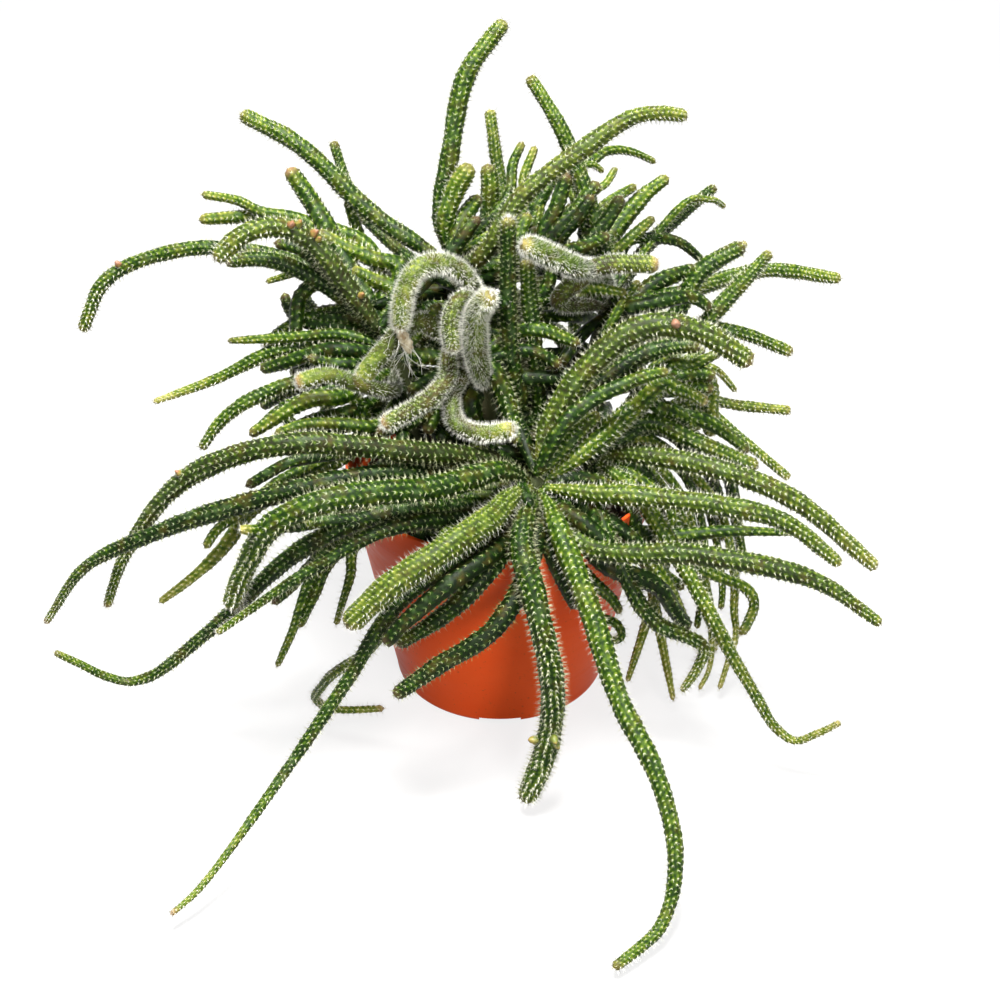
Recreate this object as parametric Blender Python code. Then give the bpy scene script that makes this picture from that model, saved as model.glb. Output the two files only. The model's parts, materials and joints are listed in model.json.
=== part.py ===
"""A potted hairy-stemmed mistletoe cactus: a tapered plastic pot, its soil, seven upright crowns that
grow from the soil, and the round stems that arch out of each crown. Metres, +Z up, floor at z = 0."""

import math

import bmesh
import bpy
import numpy as np
from mathutils import Matrix

# ---------------------------------------------------------------- driving dimensions, in millimetres
MM = 0.001
GAP = 0.3  # what touching pieces keep between them

POT_HEIGHT = 95.0
RIM_RADIUS = 60.0  # outside of the rim band
RIM_BAND = 13.0  # height of the band
SHOULDER_RADIUS = 57.5  # outside of the wall just under the band
FOOT_RADIUS = 42.5
WALL = 1.4
FOOT_RING = 3.5  # width of the ring that the pot stands on
FLOOR_RISE = 2.0  # the pot's floor is this far above the ground
FOOT_ROUND = 3.0  # rounding between foot and wall
POT_SEGMENTS = 48

NOTCH_WIDTH = 16.5
NOTCH_HEIGHT = 1.6
NOTCH_COUNT = 4
DRAIN_RADIUS = 4.0
DRAIN_CIRCLE = 27.0
DRAIN_COUNT = 6

SOIL_DEPTH_BELOW_RIM = 10.0
SOIL_RINGS = 6
SOIL_SEGMENTS = 32
SOIL_BUMP = 0.7

CROWN_SIDES = 8
CROWN_FOOT = 5.0  # the upright start of a crown
STEM_SIDES = 6
RING_SPACING = 10.0  # along a stem
NECK_RADIUS = 1.8  # where a stem leaves its crown
NECK_LENGTH = 17.0  # over which it swells to its full radius
SEAT_STEP = 4.0  # the straight start of a stem, square to its crown
FLOOR_CLEARANCE = 0.5
EASING_ROUNDS = 260

# The pot's axis stands here, so that the origin is the middle of the whole plant's footprint.
POT_AXIS = (16.0, 17.0)

# ---------------------------------------------------------------- crowns and stems
# Each crown: radius, then its foot on the soil and its head, measured from the pot's axis.
SOIL_TOP = POT_HEIGHT - SOIL_DEPTH_BELOW_RIM
CROWNS = {
    "front_crown": (6.5, (12, -30), (13, -37, 109)),
    "right_crown": (5.5, (30, -10), (36, -14, 105)),
    "left_crown": (5.5, (-30, 6), (-42, 12, 140)),
    "top_crown": (5.5, (-14, 32), (-18, 38, 160)),
    "far_crown": (5.5, (32, 22), (42, 32, 146)),
    "young_crown": (6.0, (-2, -4), (-8, -4, 138)),
    "back_crown": (5.5, (8, 42), (10, 62, 124)),
}

# Each stem: radius, length of its tapering tip, then the points that it passes on its way to the tip,
# measured from the pot's axis. It starts on the crown whose name it shares.
STEMS = {
    "front_stem_1": (4.7, 14, (2, -44, 120), (-25, -60, 123), (-56, -70, 126), (-79, -72, 117),
                     (-91, -70, 97), (-98, -68, 78)),
    "front_stem_2": (5.2, 8, (4, -58, 110), (-13, -76, 110), (-39, -88, 99), (-53, -90, 86)),
    "front_stem_3": (4.7, 16, (7, -62, 101), (12, -82, 89), (19, -90, 55), (17, -92, 29), (10, -94, 7)),
    "front_stem_4": (4.5, 22, (22, -62, 102), (33, -84, 83), (42, -106, 64), (55, -128, 47),
                     (61, -146, 26), (56, -161, 9), (40, -176, 5)),
    "front_stem_5": (3.9, 18, (28, -42, 107), (68, -48, 108), (103, -52, 103), (124, -56, 88)),
    "front_stem_6": (3.9, 20, (33, -60, 96), (71, -72, 102), (112, -80, 97), (135, -84, 82)),
    "front_stem_7": (4.2, 14, (28, -30, 117), (45, -16, 125), (61, 0, 131), (77, 16, 136)),
    "front_stem_8": (4.8, 12, (18, -24, 125), (33, -16, 148), (53, -10, 161), (73, -12, 160), (91, -16, 150)),
    "front_stem_9": (3.8, 55, (-4, -40, 102), (-41, -56, 110), (-72, -62, 98), (-108, -62, 61),
                     (-140, -60, 35), (-166, -62, 50)),
    "front_stem_10": (3.3, 24, (-7, -50, 104), (-40, -66, 109), (-71, -76, 96), (-101, -82, 76)),
    "front_stem_11": (3.8, 16, (4, -60, 99), (-5, -74, 95), (-22, -80, 80), (-36, -82, 71)),
    "front_stem_12": (3.8, 16, (10, -60, 103), (5, -75, 92), (-5, -86, 80), (-22, -90, 68), (-37, -94, 57)),
    "front_stem_13": (3.5, 65, (-4, -60, 99), (-36, -80, 86), (-54, -92, 62), (-79, -112, 32),
                      (-106, -146, 11), (-114, -154, 8)),
    "front_stem_14": (4.1, 16, (0, -34, 117), (-36, -46, 130), (-77, -50, 135), (-115, -46, 117),
                      (-141, -44, 81), (-149, -44, 60)),
    "front_stem_15": (3.9, 18, (-6, -36, 110), (-41, -48, 122), (-77, -54, 118), (-122, -50, 100),
                      (-154, -46, 80), (-173, -44, 52)),
    "front_stem_16": (4.0, 14, (22, -16, 121), (41, -4, 136), (60, 4, 144), (74, 4, 145)),
    "right_stem_1": (3.9, 18, (45, -16, 110), (76, -26, 111), (108, -34, 102), (141, -40, 75)),
    "right_stem_2": (3.5, 16, (53, -4, 117), (77, -10, 110), (97, -14, 103)),
    "right_stem_3": (3.4, 38, (48, -33, 106), (60, -45, 94), (74, -56, 73), (93, -68, 41), (110, -74, 18),
                     (126, -80, 31)),
    "right_stem_4": (3.1, 18, (37, -46, 104), (43, -57, 92), (56, -66, 70), (76, -66, 56), (69, -68, 38)),
    "right_stem_5": (2.5, 20, (75, 20, 109), (95, 20, 94), (115, 18, 77)),
    "right_stem_6": (2.3, 18, (76, 34, 104), (94, 36, 100), (116, 36, 97)),
    "left_stem_1": (4.1, 12, (-49, 16, 150), (-59, 20, 163), (-75, 24, 182), (-93, 20, 185), (-105, 16, 176)),
    "left_stem_2": (3.0, 14, (-60, 40, 150), (-90, 48, 161), (-124, 52, 161), (-155, 50, 149),
                    (-166, 48, 128)),
    "left_stem_3": (3.5, 50, (-55, 20, 137), (-83, 20, 135), (-111, 16, 123), (-133, 12, 116)),
    "left_stem_4": (2.8, 20, (-59, 0, 133), (-79, 0, 131), (-103, -6, 121), (-113, -10, 109)),
    "left_stem_5": (3.4, 16, (-58, 28, 151), (-76, 30, 163), (-89, 30, 168), (-103, 28, 168)),
    "left_stem_6": (3.3, 8, (-40, -10, 134), (-53, -22, 144), (-64, -24, 149), (-73, -26, 147)),
    "top_stem_1": (3.7, 16, (-31, 44, 167), (-50, 54, 176), (-78, 70, 197), (-100, 80, 205)),
    "top_stem_2": (2.7, 16, (-36, 62, 152), (-58, 84, 165), (-67, 98, 185)),
    "top_stem_3": (3.9, 22, (-23, 48, 174), (-19, 60, 199), (-13, 74, 224), (1, 86, 240)),
    "top_stem_4": (3.7, 16, (-6, 22, 174), (7, 28, 194), (30, 38, 209), (52, 46, 220), (69, 52, 217)),
    "top_stem_5": (2.6, 14, (2, 72, 160), (-2, 94, 184), (-4, 104, 196)),
    "far_stem_1": (3.4, 16, (40, 44, 165), (33, 58, 184), (23, 70, 205), (12, 80, 220)),
    "far_stem_2": (3.0, 16, (58, 60, 158), (72, 76, 164), (86, 88, 170)),
    "far_stem_3": (3.8, 12, (65, 36, 136), (78, 44, 155), (94, 50, 163)),
    "far_stem_4": (3.5, 16, (70, 24, 137), (89, 32, 152), (103, 38, 166)),
    "far_stem_5": (2.8, 16, (74, 70, 132), (110, 92, 131), (142, 98, 124)),
    "far_stem_6": (3.0, 16, (76, 50, 128), (96, 52, 124), (117, 52, 115)),
    "far_stem_7": (4.0, 8, (22, 14, 159), (37, 18, 171), (58, 18, 172)),
    "young_stem_1": (4.1, 7, (-9, 0, 160), (-11, -2, 175), (-22, -6, 185), (-32, -12, 183), (-35, -16, 175),
                     (-36, -18, 166)),
    "young_stem_2": (3.5, 7, (-8, -10, 155), (-9, -10, 170), (-16, -18, 176), (-18, -22, 168),
                     (-17, -24, 160)),
    "young_stem_3": (4.7, 8, (-6, -16, 140), (-9, -22, 160), (-8, -26, 176), (-4, -30, 184)),
    "young_stem_4": (3.5, 7, (-18, -12, 152), (-20, -24, 145), (-33, -30, 137), (-42, -32, 133)),
    "young_stem_5": (3.5, 7, (-17, -16, 140), (-16, -30, 132), (-7, -34, 130), (4, -36, 133)),
    "young_stem_6": (3.2, 9, (8, -6, 120), (4, -2, 147), (3, 4, 173), (3, 8, 195)),
    "young_stem_7": (3.4, 9, (14, -4, 118), (13, 2, 144), (11, 8, 162), (10, 12, 176)),
    "back_stem_1": (3.8, 22, (-8, 96, 142), (-20, 128, 128), (-25, 142, 80)),
    "back_stem_2": (3.6, 20, (22, 106, 140), (32, 136, 104), (34, 142, 58)),
    "back_stem_3": (3.4, 20, (-32, 84, 132), (-58, 112, 116), (-68, 124, 72)),
    "back_stem_4": (3.6, 20, (44, 90, 126), (68, 108, 100), (76, 114, 60)),
}

FRESH_GREEN = (0.17, 0.27, 0.05)
LEAF_GREEN = (0.07, 0.16, 0.035)
DEEP_GREEN = (0.03, 0.10, 0.025)
BARK_GREEN = (0.10, 0.13, 0.05)
TERRACOTTA = (0.50, 0.085, 0.03)
SOIL_BROWN = (0.035, 0.022, 0.014)
STEM_ROUGHNESS = 0.5
POT_ROUGHNESS = 0.42
SOIL_ROUGHNESS = 0.95

FRESH_STEMS = ("front_stem_1", "front_stem_2", "front_stem_7", "front_stem_8", "left_stem_1",
               "young_stem_1", "young_stem_2", "young_stem_3", "young_stem_4", "young_stem_5", "far_stem_7")
DEEP_STEMS = ("front_stem_10", "front_stem_11", "front_stem_12", "front_stem_15", "right_stem_4",
              "left_stem_5", "far_stem_2", "top_stem_2", "back_stem_1", "back_stem_3")


# ---------------------------------------------------------------- Blender helpers
def material(name, colour, roughness):
    made = bpy.data.materials.get(name) or bpy.data.materials.new(name)
    made.use_nodes = True
    made.diffuse_color = (*colour, 1.0)
    shader = made.node_tree.nodes["Principled BSDF"]
    shader.inputs["Base Color"].default_value = (*colour, 1.0)
    shader.inputs["Roughness"].default_value = roughness
    shader.inputs["Metallic"].default_value = 0.0
    return made


def add_object(name, mesh_builder, finish, sharp_degrees=40):
    """One named object from a bmesh in millimetres about the pot's axis."""
    mesh = bpy.data.meshes.new(name)
    place = Matrix.Scale(MM, 4) @ Matrix.Translation((*POT_AXIS, 0.0))
    mesh_builder.transform(place)
    bmesh.ops.recalc_face_normals(mesh_builder, faces=mesh_builder.faces)
    mesh_builder.to_mesh(mesh)
    mesh_builder.free()
    mesh.shade_smooth()
    mesh.set_sharp_from_angle(angle=math.radians(sharp_degrees))
    mesh.materials.append(finish)
    made = bpy.data.objects.new(name, mesh)
    bpy.context.scene.collection.objects.link(made)
    return made


def turned(profile, segments):
    """A closed outline of (radius, height) turned about Z."""
    made = bmesh.new()
    points = [made.verts.new((radius, 0.0, height)) for radius, height in profile]
    edges = [made.edges.new((a, b)) for a, b in zip(points, points[1:] + points[:1])]
    bmesh.ops.spin(made, geom=points + edges, axis=(0, 0, 1), cent=(0, 0, 0),
                   angle=math.tau, steps=segments, use_merge=True)
    bmesh.ops.remove_doubles(made, verts=made.verts, dist=1e-4)
    return made


def cut(target, name, cutter):
    """Takes the cutter, a bmesh in millimetres, out of the target object."""
    tool = add_object(name, cutter, target.data.materials[0])
    tool.hide_render = True
    tool.display_type = "WIRE"
    modifier = target.modifiers.new(name, "BOOLEAN")
    modifier.operation = "DIFFERENCE"
    modifier.solver = "EXACT"
    modifier.object = tool


# ---------------------------------------------------------------- the pot
def wall_radius(height):
    """Outside radius of the tapered wall."""
    share = (height - FOOT_ROUND) / (POT_HEIGHT - RIM_BAND - FOOT_ROUND)
    return FOOT_RADIUS + 0.8 + share * (SHOULDER_RADIUS - FOOT_RADIUS - 0.8)


def build_pot():
    finish = material("pot_plastic", TERRACOTTA, POT_ROUGHNESS)
    band_foot = POT_HEIGHT - RIM_BAND
    floor_top = FLOOR_RISE + WALL
    profile = [
        (FOOT_RADIUS - FOOT_RING, 0.0),
        (FOOT_RADIUS - 1.0, 0.0),
        (FOOT_RADIUS, 0.7),
        (wall_radius(FOOT_ROUND), FOOT_ROUND),
        (wall_radius(band_foot - 1.0), band_foot - 1.0),
        (RIM_RADIUS - 0.6, band_foot),
        (RIM_RADIUS, band_foot + 1.2),
        (RIM_RADIUS, POT_HEIGHT - 1.0),
        (RIM_RADIUS - 0.6, POT_HEIGHT),
        (RIM_RADIUS - WALL, POT_HEIGHT),
        (RIM_RADIUS - WALL - 0.3, POT_HEIGHT - 1.0),
        (wall_radius(band_foot) - WALL, band_foot - 2.0),
        (wall_radius(floor_top) - WALL, floor_top),
        (0.0, floor_top),
        (0.0, FLOOR_RISE),
        (FOOT_RADIUS - FOOT_RING, FLOOR_RISE),
    ]
    pot = add_object("pot", turned(profile, POT_SEGMENTS), finish)
    notches = bmesh.new()
    for index in range(NOTCH_COUNT):
        turn = Matrix.Rotation(math.tau * index / NOTCH_COUNT, 4, "Z")
        block = Matrix.Translation((FOOT_RADIUS, 0.0, 0.0)) @ Matrix.Diagonal(
            (4 * FOOT_RING, NOTCH_WIDTH, 2 * NOTCH_HEIGHT, 1.0))
        bmesh.ops.create_cube(notches, size=1.0, matrix=turn @ block)
    cut(pot, "foot_notches", notches)
    drains = bmesh.new()
    for index in range(DRAIN_COUNT):
        turn = Matrix.Rotation(math.tau * index / DRAIN_COUNT, 4, "Z")
        place = turn @ Matrix.Translation((DRAIN_CIRCLE, 0.0, FLOOR_RISE))
        bmesh.ops.create_cone(drains, cap_ends=True, segments=12, radius1=DRAIN_RADIUS,
                              radius2=DRAIN_RADIUS, depth=6 * WALL, matrix=place)
    cut(pot, "drain_holes", drains)


# ---------------------------------------------------------------- the soil
def soil_height(x, y):
    """Height of the lumpy surface, never above SOIL_TOP."""
    lumps = math.sin(x * 0.21 + 0.7) * math.cos(y * 0.17 - 0.4) + 0.5 * math.sin(x * 0.43 + y * 0.37)
    return SOIL_TOP - SOIL_BUMP * (1.0 - lumps / 1.5) / 2


def build_soil():
    floor = FLOOR_RISE + WALL + GAP
    bottom_radius = wall_radius(floor) - WALL - GAP - 0.2
    top_radius = wall_radius(SOIL_TOP - 4) - WALL - GAP - 0.4
    made = bmesh.new()
    angles = [math.tau * i / SOIL_SEGMENTS for i in range(SOIL_SEGMENTS)]

    def ring(radius, height=None):
        points = [(radius * math.cos(a), radius * math.sin(a)) for a in angles]
        return [made.verts.new((x, y, soil_height(x, y) if height is None else height)) for x, y in points]

    def bridge(lower, upper):
        for i in range(SOIL_SEGMENTS):
            j = (i + 1) % SOIL_SEGMENTS
            made.faces.new((lower[i], lower[j], upper[j], upper[i]))

    rings = [ring(bottom_radius, floor)]
    rings += [ring(top_radius * (SOIL_RINGS - i) / SOIL_RINGS) for i in range(SOIL_RINGS)]
    for lower, upper in zip(rings, rings[1:]):
        bridge(lower, upper)
    middle = made.verts.new((0.0, 0.0, soil_height(0.0, 0.0)))
    for i in range(SOIL_SEGMENTS):
        made.faces.new((rings[-1][i], rings[-1][(i + 1) % SOIL_SEGMENTS], middle))
    made.faces.new(list(reversed(rings[0])))
    add_object("soil", made, material("potting_soil", SOIL_BROWN, SOIL_ROUGHNESS))


# ---------------------------------------------------------------- round stems
def smooth_path(points, spacing):
    """Points at an even spacing along a centripetal Catmull-Rom curve through the given ones."""
    ends = [2 * points[0] - points[1], *points, 2 * points[-1] - points[-2]]
    fine = []
    for a, b, c, d in zip(ends, ends[1:], ends[2:], ends[3:]):
        t1 = math.sqrt(np.linalg.norm(b - a))
        t2 = t1 + math.sqrt(np.linalg.norm(c - b))
        t3 = t2 + math.sqrt(np.linalg.norm(d - c))
        for t in np.linspace(t1, t2, 16, endpoint=False):
            p = a + (b - a) * t / t1
            q = b + (c - b) * (t - t1) / (t2 - t1)
            r = c + (d - c) * (t - t2) / (t3 - t2)
            pq = p + (q - p) * t / t2
            qr = q + (r - q) * (t - t1) / (t3 - t1)
            fine.append(pq + (qr - pq) * (t - t1) / (t2 - t1))
    fine.append(points[-1])
    fine = np.array(fine)
    along = np.concatenate([[0.0], np.cumsum(np.linalg.norm(np.diff(fine, axis=0), axis=1))])
    count = max(4, round(along[-1] / spacing))
    at = np.linspace(0.0, along[-1], count + 1)
    return np.column_stack([np.interp(at, along, fine[:, axis]) for axis in range(3)])


def stem_radii(path, full, taper):
    """Radius at each point: a slim neck, the full stem, and a tip that tapers over its last stretch."""
    steps = np.linalg.norm(np.diff(path, axis=0), axis=1)
    along = np.concatenate([[0.0], np.cumsum(steps)])
    left = along[-1] - along
    neck = NECK_RADIUS + (full - NECK_RADIUS) * np.clip(along / NECK_LENGTH, 0.0, 1.0) ** 0.7
    tip = full * np.sqrt(1.0 - (1.0 - np.clip(left / taper, 0.0, 1.0)) ** 2 * 0.85)
    return np.minimum(neck, tip)


def tube(path, radii, sides):
    """A closed tube with a flat foot and a rounded tip one radius beyond the last point."""
    made = bmesh.new()
    along = np.gradient(path, axis=0)
    along /= np.linalg.norm(along, axis=1)[:, None]
    across = np.cross(along[0], (0.0, 0.0, 1.0) if abs(along[0][2]) < 0.8 else (1.0, 0.0, 0.0))
    rings = []
    last = len(path) - 1
    stations = [(path[i], along[i], radii[i]) for i in range(last + 1)]
    stations.append((path[last] + along[last] * radii[last] * 0.7, along[last], radii[last] * 0.68))
    for centre, forward, radius in stations:
        across = across - forward * (across @ forward)
        across /= np.linalg.norm(across)
        side = np.cross(forward, across)
        turns = [math.tau * i / sides for i in range(sides)]
        ring = [centre + radius * (across * math.cos(t) + side * math.sin(t)) for t in turns]
        rings.append([made.verts.new(point) for point in ring])
    tip = made.verts.new(path[last] + along[last] * radii[last])
    for lower, upper in zip(rings, rings[1:]):
        for i in range(sides):
            j = (i + 1) % sides
            made.faces.new((lower[i], lower[j], upper[j], upper[i]))
    for i in range(sides):
        made.faces.new((rings[-1][i], rings[-1][(i + 1) % sides], tip))
    made.faces.new(list(reversed(rings[0])))
    return made


def crown_axis(name):
    radius, foot, head = CROWNS[name]
    lowest = SOIL_TOP + GAP
    return np.array([(*foot, lowest), head], float), radius


def nearest_on_axis(axis, point):
    run = axis[1] - axis[0]
    share = np.clip((point - axis[0]) @ run / (run @ run), 0.15, 1.0)
    return axis[0] + share * run


def seat(path, axis, radius):
    """Sets a stem's first two points square to its crown, with the usual gap under its foot."""
    centre = nearest_on_axis(axis, path[1])
    outward = path[1] - centre
    outward /= np.linalg.norm(outward)
    path[0] = centre + outward * (radius + GAP)
    path[1] = centre + outward * (radius + GAP + SEAT_STEP)


def stem_start(points, axis, radius):
    """The way from the crown to the first of a stem's own points."""
    first = np.array(points[0], float)
    centre = nearest_on_axis(axis, first)
    outward = (first - centre) / np.linalg.norm(first - centre)
    return [centre + outward * (radius + GAP + SEAT_STEP), *[np.array(p, float) for p in points]]


# ---------------------------------------------------------------- easing the stems apart
def closest_between(a0, a1, b0, b1):
    """Shares along each pair of segments at which they come closest."""
    u = a1 - a0
    v = b1 - b0
    w = a0 - b0
    uu = (u * u).sum(-1)
    vv = (v * v).sum(-1)
    uv = (u * v).sum(-1)
    uw = (u * w).sum(-1)
    vw = (v * w).sum(-1)
    flat = np.maximum(uu * vv - uv * uv, 1e-9)
    s = np.clip((uv * vw - vv * uw) / flat, 0.0, 1.0)
    t = np.clip((uv * s + vw) / vv, 0.0, 1.0)
    s = np.clip((uv * t - uw) / uu, 0.0, 1.0)
    return s, t


class Bundle:
    """All stems as chains of points, with the crowns as fixed rods among them."""

    def __init__(self):
        self.names = list(STEMS)
        self.paths = {}
        self.radii = {}
        for name in self.names:
            full, taper, *points = STEMS[name]
            axis, crown_radius = crown_axis(self.crown_of(name))
            start = stem_start(points, axis, crown_radius)
            path = smooth_path(start, RING_SPACING)
            path = np.vstack([path[:1], path])
            seat(path, axis, crown_radius)
            self.paths[name] = path
            self.radii[name] = stem_radii(path, full, taper)
        self.first = {name: path.copy() for name, path in self.paths.items()}
        self.rods = {name: crown_axis(name) for name in CROWNS}

    def crown_of(self, name):
        return name.split("_")[0] + "_crown"

    def segments(self):
        """Start, end, radii, owner and index of every segment of every stem."""
        starts, ends, first_radius, last_radius, owner, index = [], [], [], [], [], []
        for number, name in enumerate(self.names):
            path = self.paths[name]
            radii = self.radii[name]
            starts.append(path[:-1])
            ends.append(path[1:])
            first_radius.append(radii[:-1])
            last_radius.append(radii[1:])
            owner.append(np.full(len(path) - 1, number))
            index.append(np.arange(len(path) - 1))
        joined = [np.concatenate(part) for part in (starts, ends, first_radius, last_radius, owner, index)]
        return joined

    def push_apart(self, moves):
        a0, a1, r0, r1, owner, index = self.segments()
        middle = (a0 + a1) / 2
        reach = np.linalg.norm(a1 - a0, axis=1) / 2 + np.maximum(r0, r1) + 1.0
        near = np.linalg.norm(middle[:, None] - middle[None], axis=2) < reach[:, None] + reach[None]
        i, j = np.nonzero(np.triu(near & (owner[:, None] != owner[None]), 1))
        s, t = closest_between(a0[i], a1[i], a0[j], a1[j])
        p = a0[i] + (a1[i] - a0[i]) * s[:, None]
        q = a0[j] + (a1[j] - a0[j]) * t[:, None]
        away = p - q
        distance = np.maximum(np.linalg.norm(away, axis=1), 1e-6)
        need = r0[i] + (r1[i] - r0[i]) * s + r0[j] + (r1[j] - r0[j]) * t + 2 * GAP
        deep = np.maximum(need - distance, 0.0)
        hit = deep > 0
        worst = float(deep.max()) if len(deep) else 0.0
        shift = away / distance[:, None] * (deep / 2)[:, None]
        for pair in np.nonzero(hit)[0]:
            self.add_move(moves, owner[i[pair]], index[i[pair]], s[pair], shift[pair])
            self.add_move(moves, owner[j[pair]], index[j[pair]], t[pair], -shift[pair])
        return worst

    def add_move(self, moves, owner, index, share, shift):
        path_moves, counts = moves[self.names[owner]]
        path_moves[index] += shift * (1 - share)
        path_moves[index + 1] += shift * share
        counts[index] += 1 - share
        counts[index + 1] += share

    def push_off_crowns(self):
        worst = 0.0
        for name in self.names:
            path = self.paths[name]
            radii = self.radii[name]
            own = self.crown_of(name)
            for crown, (axis, crown_radius) in self.rods.items():
                start = 2 if crown == own else 0
                a0 = path[start:-1]
                a1 = path[start + 1:]
                s, t = closest_between(a0, a1, np.broadcast_to(axis[0], a0.shape),
                                       np.broadcast_to(axis[1], a0.shape))
                p = a0 + (a1 - a0) * s[:, None]
                q = axis[0] + (axis[1] - axis[0]) * t[:, None]
                away = p - q
                distance = np.maximum(np.linalg.norm(away, axis=1), 1e-6)
                wide = np.maximum(radii[start:-1], radii[start + 1:])
                deep = np.maximum(wide + crown_radius + 2 * GAP - distance, 0.0)
                worst = max(worst, float(deep.max()))
                shift = away / distance[:, None] * deep[:, None]
                path[start:-1] += shift * (1 - s)[:, None] * 0.6
                path[start + 1:] += shift * s[:, None] * 0.6
        return worst

    def keep_off_pot_and_floor(self):
        """Keeps each stem above the floor and the soil, and clear of the pot's wall and rim."""
        wall = np.array([(FOOT_RADIUS, 0.0), (SHOULDER_RADIUS - 0.7, POT_HEIGHT - RIM_BAND),
                         (RIM_RADIUS - 0.7, POT_HEIGHT - 0.7)])
        for name in self.names:
            path = self.paths[name]
            radii = self.radii[name]
            for share in (0.0, 0.25, 0.5, 0.75):
                spots = path[1:-1] + (path[2:] - path[1:-1]) * share
                wide = radii[1:-1] + (radii[2:] - radii[1:-1]) * share
                out = np.linalg.norm(spots[:, :2], axis=1)
                for low, high in zip(wall, wall[1:]):
                    run = high - low
                    flat = np.column_stack([out, spots[:, 2]])
                    t = np.clip((flat - low) @ run / (run @ run), 0.0, 1.0)
                    away = flat - (low + run * t[:, None])
                    distance = np.maximum(np.linalg.norm(away, axis=1), 1e-6)
                    deep = np.maximum(wide + 0.7 + 2 * GAP - distance, 0.0)
                    shift = away / distance[:, None] * deep[:, None]
                    radial = spots[:, :2] / np.maximum(out, 1e-6)[:, None]
                    move = np.column_stack([radial * shift[:, :1], shift[:, 1]])
                    path[1:-1] += move * (1 - share)
                    path[2:] += move * share
            inside = np.linalg.norm(path[:, :2], axis=1) < SHOULDER_RADIUS
            lowest = np.where(inside, SOIL_TOP, FLOOR_CLEARANCE) + radii + GAP
            path[2:, 2] = np.maximum(path[2:, 2], lowest[2:])

    def ease(self):
        for round_number in range(EASING_ROUNDS):
            moves = {name: (np.zeros_like(path), np.full(len(path), 1e-9))
                     for name, path in self.paths.items()}
            self.push_apart(moves)
            calm = round_number < EASING_ROUNDS * 0.6
            for name in self.names:
                path = self.paths[name]
                total, counts = moves[name]
                path += total / np.maximum(counts, 1.0)[:, None]
                if calm:
                    drift = path - self.first[name]
                    drift[1:-1] = 0.5 * drift[1:-1] + 0.25 * (drift[:-2] + drift[2:])
                    self.paths[name] = path = self.first[name] + drift * 0.995
                axis, crown_radius = self.rods[self.crown_of(name)]
                seat(path, axis, crown_radius)
            self.push_off_crowns()
            self.keep_off_pot_and_floor()


def build_plant():
    fresh = material("stem_fresh", FRESH_GREEN, STEM_ROUGHNESS)
    green = material("stem_green", LEAF_GREEN, STEM_ROUGHNESS)
    deep = material("stem_deep", DEEP_GREEN, STEM_ROUGHNESS)
    bark = material("crown_bark", BARK_GREEN, STEM_ROUGHNESS)
    for name in CROWNS:
        axis, radius = crown_axis(name)
        path = axis[0] + (axis[1] - axis[0]) * np.linspace(0.0, 1.0, 5)[:, None]
        path[1] = path[0] + (0.0, 0.0, CROWN_FOOT)
        radii = np.full(5, radius)
        radii[0] = radius * 0.8
        add_object(name, tube(path, radii, CROWN_SIDES), bark)
    bundle = Bundle()
    bundle.ease()
    for name in STEMS:
        finish = fresh if name in FRESH_STEMS else deep if name in DEEP_STEMS else green
        add_object(name, tube(bundle.paths[name], bundle.radii[name], STEM_SIDES), finish)


for old in list(bpy.data.objects):
    bpy.data.objects.remove(old)
build_pot()
build_soil()
build_plant()
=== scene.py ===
import json
import math

import bmesh
import bpy
import numpy as np
from mathutils import Matrix, Vector


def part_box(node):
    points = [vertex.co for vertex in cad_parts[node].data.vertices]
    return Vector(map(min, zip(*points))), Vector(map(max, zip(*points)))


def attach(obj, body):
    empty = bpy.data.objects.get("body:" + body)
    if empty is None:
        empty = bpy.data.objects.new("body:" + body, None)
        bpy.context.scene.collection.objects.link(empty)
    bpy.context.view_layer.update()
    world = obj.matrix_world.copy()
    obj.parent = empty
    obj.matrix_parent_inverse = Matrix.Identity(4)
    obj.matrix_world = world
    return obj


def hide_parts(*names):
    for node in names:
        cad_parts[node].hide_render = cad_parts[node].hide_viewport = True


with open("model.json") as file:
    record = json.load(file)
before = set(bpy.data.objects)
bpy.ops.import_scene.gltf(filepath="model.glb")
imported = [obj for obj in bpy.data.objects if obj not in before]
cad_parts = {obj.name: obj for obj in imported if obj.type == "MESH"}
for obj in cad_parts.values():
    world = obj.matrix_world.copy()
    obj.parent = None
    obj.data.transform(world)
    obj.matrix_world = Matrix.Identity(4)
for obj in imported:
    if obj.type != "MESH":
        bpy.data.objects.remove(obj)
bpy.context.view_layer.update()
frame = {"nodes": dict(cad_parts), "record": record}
MM = 0.001

# ---------------------------------------------------------------------------
# The table top, the lamps and the camera. The plant stands on a white sweep
# under soft daylight from above and a little to the left, and is looked at
# from above at the front.
# ---------------------------------------------------------------------------
pot_low, pot_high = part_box("pot")
pot_axis = Vector(((pot_low.x + pot_high.x) / 2, (pot_low.y + pot_high.y) / 2, 0))

TABLE_SIZE = 40.0
TABLE_DROP = 0.2 * MM
# share of plain white in the paper as it is seen, by the plant and far off, and where the change lies
TABLE_SHOWN_WHITE = (0.8, 1.0)
TABLE_FADE = (0.35, 0.9)
PAPER_SHOWN = (0.9, 0.9, 0.9, 1)
PAPER_BOUNCE = (0.16, 0.16, 0.15, 1)
VIEW_BACK = 663 * MM
VIEW_HEIGHT = 525 * MM
VIEW_TILT = math.radians(56)
VIEW_LENS = 73.26
SKY_COLOUR = (1.0, 1.0, 0.97, 1)
SKY_STRENGTH = 0.1
LAMP_COLOUR = (1.0, 0.99, 0.96)
LAMP_AIM = 110 * MM
# where each lamp hangs from the pot's foot and how wide it is, in metres, and its power
LAMPS = {
    "key_lamp": ((-0.08, -0.25, 1.6), 0.45, 64),
    "front_lamp": ((0.35, -1.4, 0.8), 0.5, 15),
}


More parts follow.
